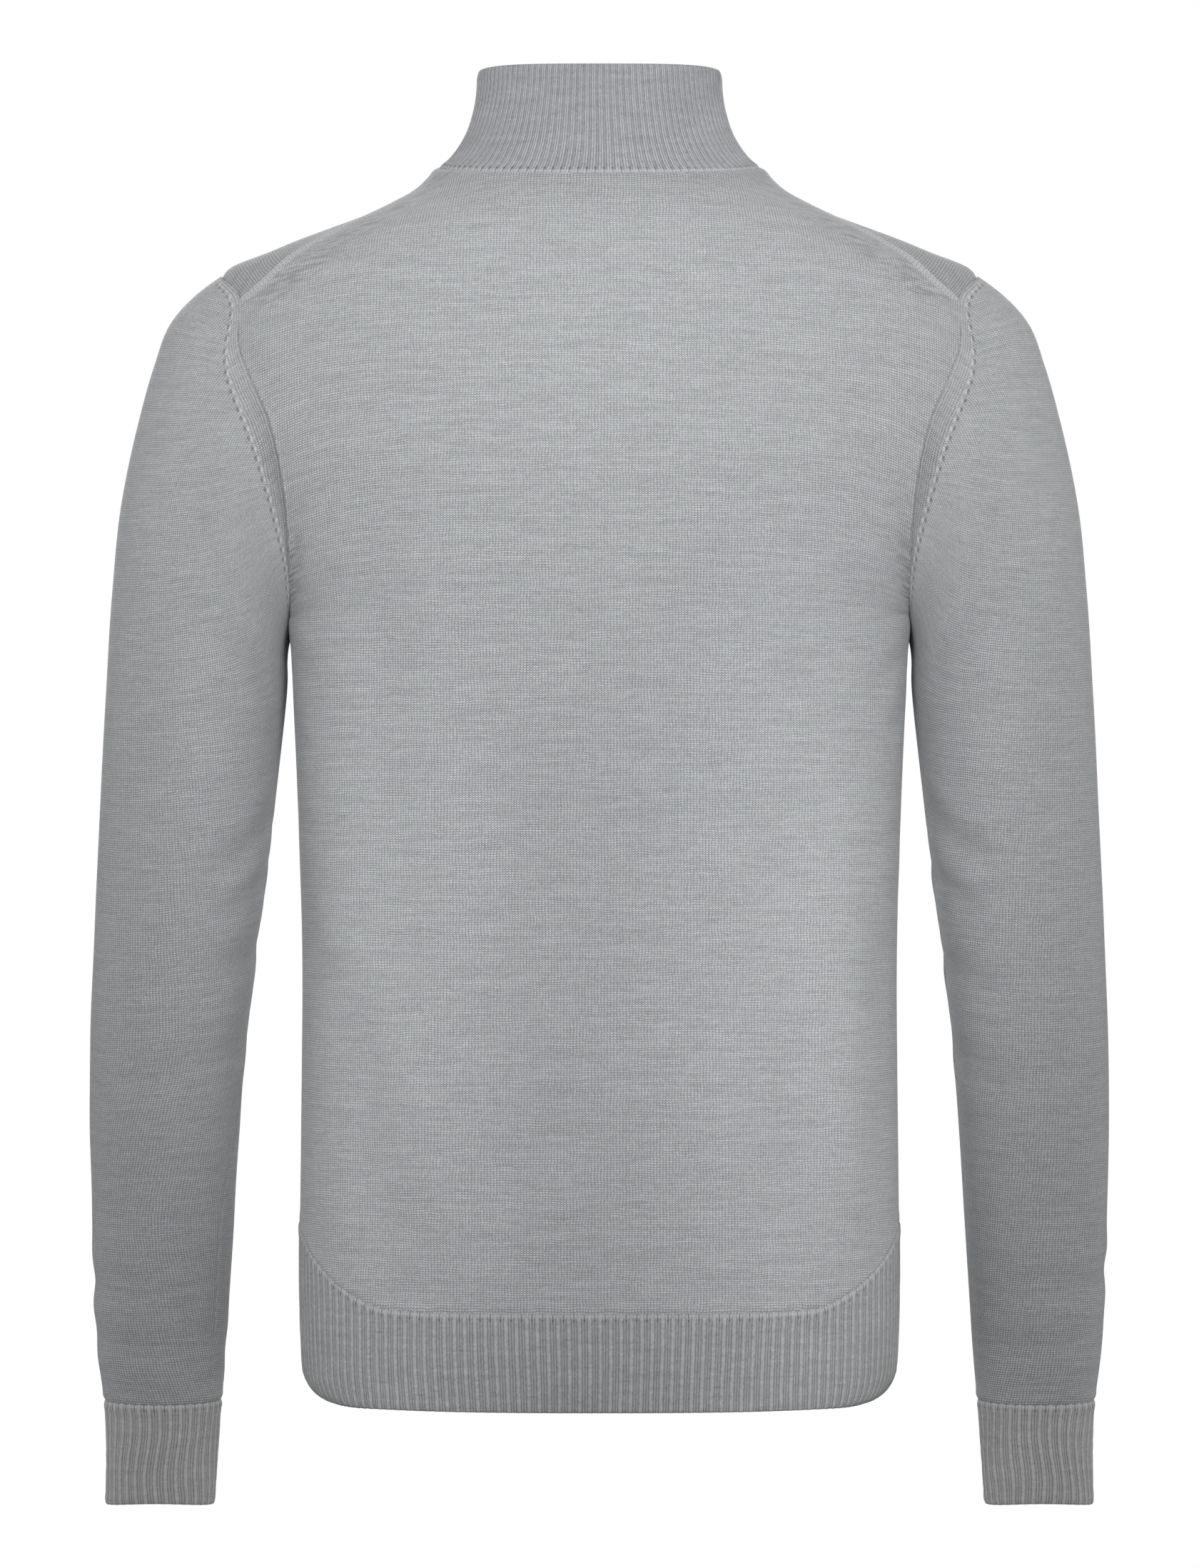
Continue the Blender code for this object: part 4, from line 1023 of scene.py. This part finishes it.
for side, way in (("left", -1), ("right", 1)):
    cloth = right_tape * np.array((way, 1, 1))
    across = run_lengths(cloth, 1)
    along = run_lengths(cloth, 0)
    piece = knitted(f"zip_tape_cloth_{side}", cloth, across, along, TAPE_THICK, tape_cloth,
                    flip=way > 0)
    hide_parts(f"zip_tape_{side}")
    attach(piece, "sweater")

# Nickel-plated brass, die cast or stamped and then tumbled: soft edges, and a
# slightly cloudy shine from handling.
nickel = bpy.data.materials.new("plated_nickel")
nickel.use_nodes = True
tree = nickel.node_tree
metal = tree.nodes["Principled BSDF"]
place = add_node(tree, "TexCoord").outputs["Object"]
cloud = add_node(tree, "TexNoise", None, {"Vector": place, "Scale": 420.0, "Detail": 3.0})
dull = add_node(tree, "MapRange", None, {"Value": cloud, "From Min": 0.3, "From Max": 0.7,
                                         "To Min": 0.26, "To Max": 0.33})
tree.links.new(dull.outputs[0], metal.inputs["Roughness"])
metal.inputs["Base Color"].default_value = shade("#c3c1bb")
metal.inputs["Metallic"].default_value = 1.0

# The teeth of the two rows follow each other in turn. Each is a stamped block
# with a small nib on its head.
TOOTH_PITCH = 2.4 * MM
TOOTH_SIZE = (2.5 * MM, 2.2 * MM, 1.05 * MM)
TOOTH_REACH = 1.05 * MM
TOOTH_ROUND = 0.08 * MM
NIB_INSET = 0.18 * MM
NIB_LIP = 0.03 * MM
NIB_LENGTH = 0.45 * MM

edge = right_tape[:, :1] * np.array((0, 1, 1))
edge_run = run_lengths(edge, 0)[:, 0]
low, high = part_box("zip_chain")
start, end = np.interp((low[2], high[2]), edge[:, 0, 2], edge_run)
count = 2 * int((end - start) / TOOTH_PITCH)
places = start + (end - start) * (np.arange(count) + 0.5) / count
line = smooth_through(edge, places / edge_run[-1])[:, 0]
run = np.gradient(line, axis=0)
run /= np.linalg.norm(run, axis=1)[:, None]
line += 0.5 * TAPE_THICK * run[:, [0, 2, 1]] * np.array((0, 1, -1))
bpy.ops.mesh.primitive_cube_add(size=1)
tooth = bpy.context.active_object
tooth.name = "zip_teeth"
tooth.dimensions = TOOTH_SIZE
tooth.location = (TOOTH_REACH, 0, 0)
bpy.ops.object.transform_apply(location=True, rotation=True, scale=True)
bpy.ops.object.mode_set(mode="EDIT")
bpy.ops.mesh.select_mode(type="FACE")
bpy.ops.mesh.select_all(action="DESELECT")
bpy.ops.object.mode_set(mode="OBJECT")
for face in tooth.data.polygons:
    face.select = face.normal.x < -0.5
bpy.ops.object.mode_set(mode="EDIT")
bpy.ops.mesh.inset(thickness=NIB_INSET)
bpy.ops.mesh.inset(thickness=NIB_LIP)
bpy.ops.transform.translate(value=(-NIB_LENGTH, 0, 0))
bpy.ops.object.mode_set(mode="OBJECT")
soft = tooth.modifiers.new("tumbled", "BEVEL")
soft.width = TOOTH_ROUND
soft.segments = 2
bpy.ops.object.modifier_apply(modifier="tumbled")
bpy.ops.object.shade_smooth_by_angle(angle=math.radians(40))
tooth.data.materials.append(nickel)
bpy.ops.object.select_all(action="DESELECT")
for k, (place, way) in enumerate(zip(line, run)):
    item = tooth if k == 0 else bpy.data.objects.new("tooth", tooth.data)
    if k:
        bpy.context.scene.collection.objects.link(item)
    item.location = place
    lean = math.atan2(-way[1], way[2])
    item.rotation_euler = (-lean if k % 2 else lean, 0, math.pi * (k % 2))
    item.select_set(True)
bpy.context.view_layer.objects.active = tooth
tooth.data = tooth.data.copy()
bpy.ops.object.join()
bpy.ops.object.transform_apply(location=True, rotation=True, scale=True)
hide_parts("zip_chain")
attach(tooth, "sweater")

# Slider, bottom stop and pull tab keep the form of their solids, with the
# rounded edges of tumbled castings. The slider's plates narrow towards its
# mouth, and the stop is widened to hold both tapes. The tab hangs on a pin under
# the slider's bridge.
SLIDER_MOUTH_SIDE = 3 * MM
SLIDER_MOUTH_TOP = 17 * MM
SLIDER_MOUTH_SHARE = 0.76
STOP_SHARE = 1.8

for name, body, radius in (("zip_slider", "sweater", 0.35 * MM),
                           ("zip_bottom_stop", "sweater", 0.35 * MM),
                           ("zip_pull_tab", "pull_tab", 0.28 * MM)):
    piece = bpy.data.objects.new(f"{name}_metal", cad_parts[name].data.copy())
    bpy.context.scene.collection.objects.link(piece)
    bpy.ops.object.select_all(action="DESELECT")
    piece.select_set(True)
    bpy.context.view_layer.objects.active = piece
    bpy.ops.object.mode_set(mode="EDIT")
    bpy.ops.mesh.select_all(action="SELECT")
    bpy.ops.mesh.remove_doubles(threshold=0.00002)
    bpy.ops.mesh.dissolve_limited(angle_limit=math.radians(2))
    if name == "zip_slider":
        bpy.ops.mesh.select_mode(type="VERT")
        bpy.ops.mesh.select_all(action="DESELECT")
        bpy.ops.object.mode_set(mode="OBJECT")
        for vert in piece.data.vertices:
            vert.select = abs(vert.co.x) > SLIDER_MOUTH_SIDE and vert.co.z < SLIDER_MOUTH_TOP
        bpy.ops.object.mode_set(mode="EDIT")
        bpy.ops.transform.resize(value=(SLIDER_MOUTH_SHARE, 1, 1))
    if name == "zip_bottom_stop":
        bpy.ops.transform.resize(value=(STOP_SHARE, 1, 1))
    bpy.ops.object.mode_set(mode="OBJECT")
    soft = piece.modifiers.new("tumbled", "BEVEL")
    soft.width = radius
    soft.segments = 3
    bpy.ops.object.modifier_apply(modifier="tumbled")
    bpy.ops.object.shade_smooth_by_angle(angle=math.radians(40))
    piece.data.materials.clear()
    piece.data.materials.append(nickel)
    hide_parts(name)
    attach(piece, body)


# ------------------------------------------------------- light and camera
# A white room, lit the same from behind and from the front: two large soft
# lights high on either side of the camera, and three narrow strips between them
# that lift the lower body. The sleeves stay darker.

world = bpy.data.worlds.new("white_room")
bpy.context.scene.world = world
world.use_nodes = True
tree = world.node_tree
tree.nodes.clear()
seen = add_node(tree, "LightPath")
way = add_node(tree, "TexCoord").outputs["Generated"]
way = add_node(tree, "SeparateXYZ", None, (way,))
glow = add_node(tree, "MapRange", None, {"Value": way.outputs[2], "From Min": -0.8, "From Max": 0.1,
                                         "To Min": 0.25, "To Max": 1.0})
sides = add_node(tree, "Math", "POWER", (way.outputs[0], 4.0))
sides = add_node(tree, "Math", "MULTIPLY_ADD", (sides, 1.2, 0.14))
glow = add_node(tree, "Math", "MULTIPLY", (glow, sides))
room = add_node(tree, "Background", None, {"Color": (1.0, 1.0, 1.0, 1.0), "Strength": glow})
white = add_node(tree, "Background", None, {"Color": (1.0, 1.0, 1.0, 1.0), "Strength": 1.0})
both = add_node(tree, "MixShader", None, (seen.outputs["Is Camera Ray"], room, white))
add_node(tree, "OutputWorld", None, {"Surface": both})


def soft_light(name, place, aim, radius, power, cone):
    """A soft lamp at a place, aimed at another, with its cone in degrees and its power in watts."""
    lamp = bpy.data.lights.new(name, "SPOT")
    lamp.shadow_soft_size = radius
    lamp.energy = power
    lamp.spot_size = math.radians(cone)
    lamp.spot_blend = 1.0
    item = bpy.data.objects.new(name, lamp)
    bpy.context.scene.collection.objects.link(item)
    item.location = place
    way = np.array(aim, float) - np.array(place, float)
    item.rotation_euler = (math.atan2(math.hypot(way[0], way[1]), -way[2]), 0.0,
                           math.atan2(way[1], way[0]) - math.pi / 2)
    return item


for side in (1, -1):
    soft_light("key", (-0.8 * side, 2.45 * side, 0.5), (0, 0, -0.08), 0.4, 142, 31)
    soft_light("fill", (0.7 * side, 2.45 * side, 0.4), (0, 0, -0.08), 0.4, 106, 31)
    for shift, power in ((-0.135, 96), (0.0, 18), (0.135, 72)):
        strip = soft_light("strip", (0, 2.6 * side, 0.2), (shift * side, 0, -0.66), 0.08, power, 19)
        strip.data.spot_blend = 0.6
        strip.scale = (0.25, 1.0, 1.0)

CAMERA_AWAY = 3.2
CAMERA_HEIGHT = -0.3433
SEEN_HEIGHT = 0.8788        # what the frame shows, from top to bottom, at the origin's depth
SENSOR_HEIGHT_MM = 24.0

view = bpy.data.cameras.new("camera")
view.sensor_fit = "VERTICAL"
view.sensor_height = SENSOR_HEIGHT_MM
view.lens = SENSOR_HEIGHT_MM * CAMERA_AWAY / SEEN_HEIGHT
camera = bpy.data.objects.new("camera", view)
bpy.context.scene.collection.objects.link(camera)
camera.location = (0.0, CAMERA_AWAY, CAMERA_HEIGHT)
camera.rotation_euler = (math.pi / 2, 0.0, math.pi)
bpy.context.scene.camera = camera
bpy.context.scene.view_settings.view_transform = "Standard"
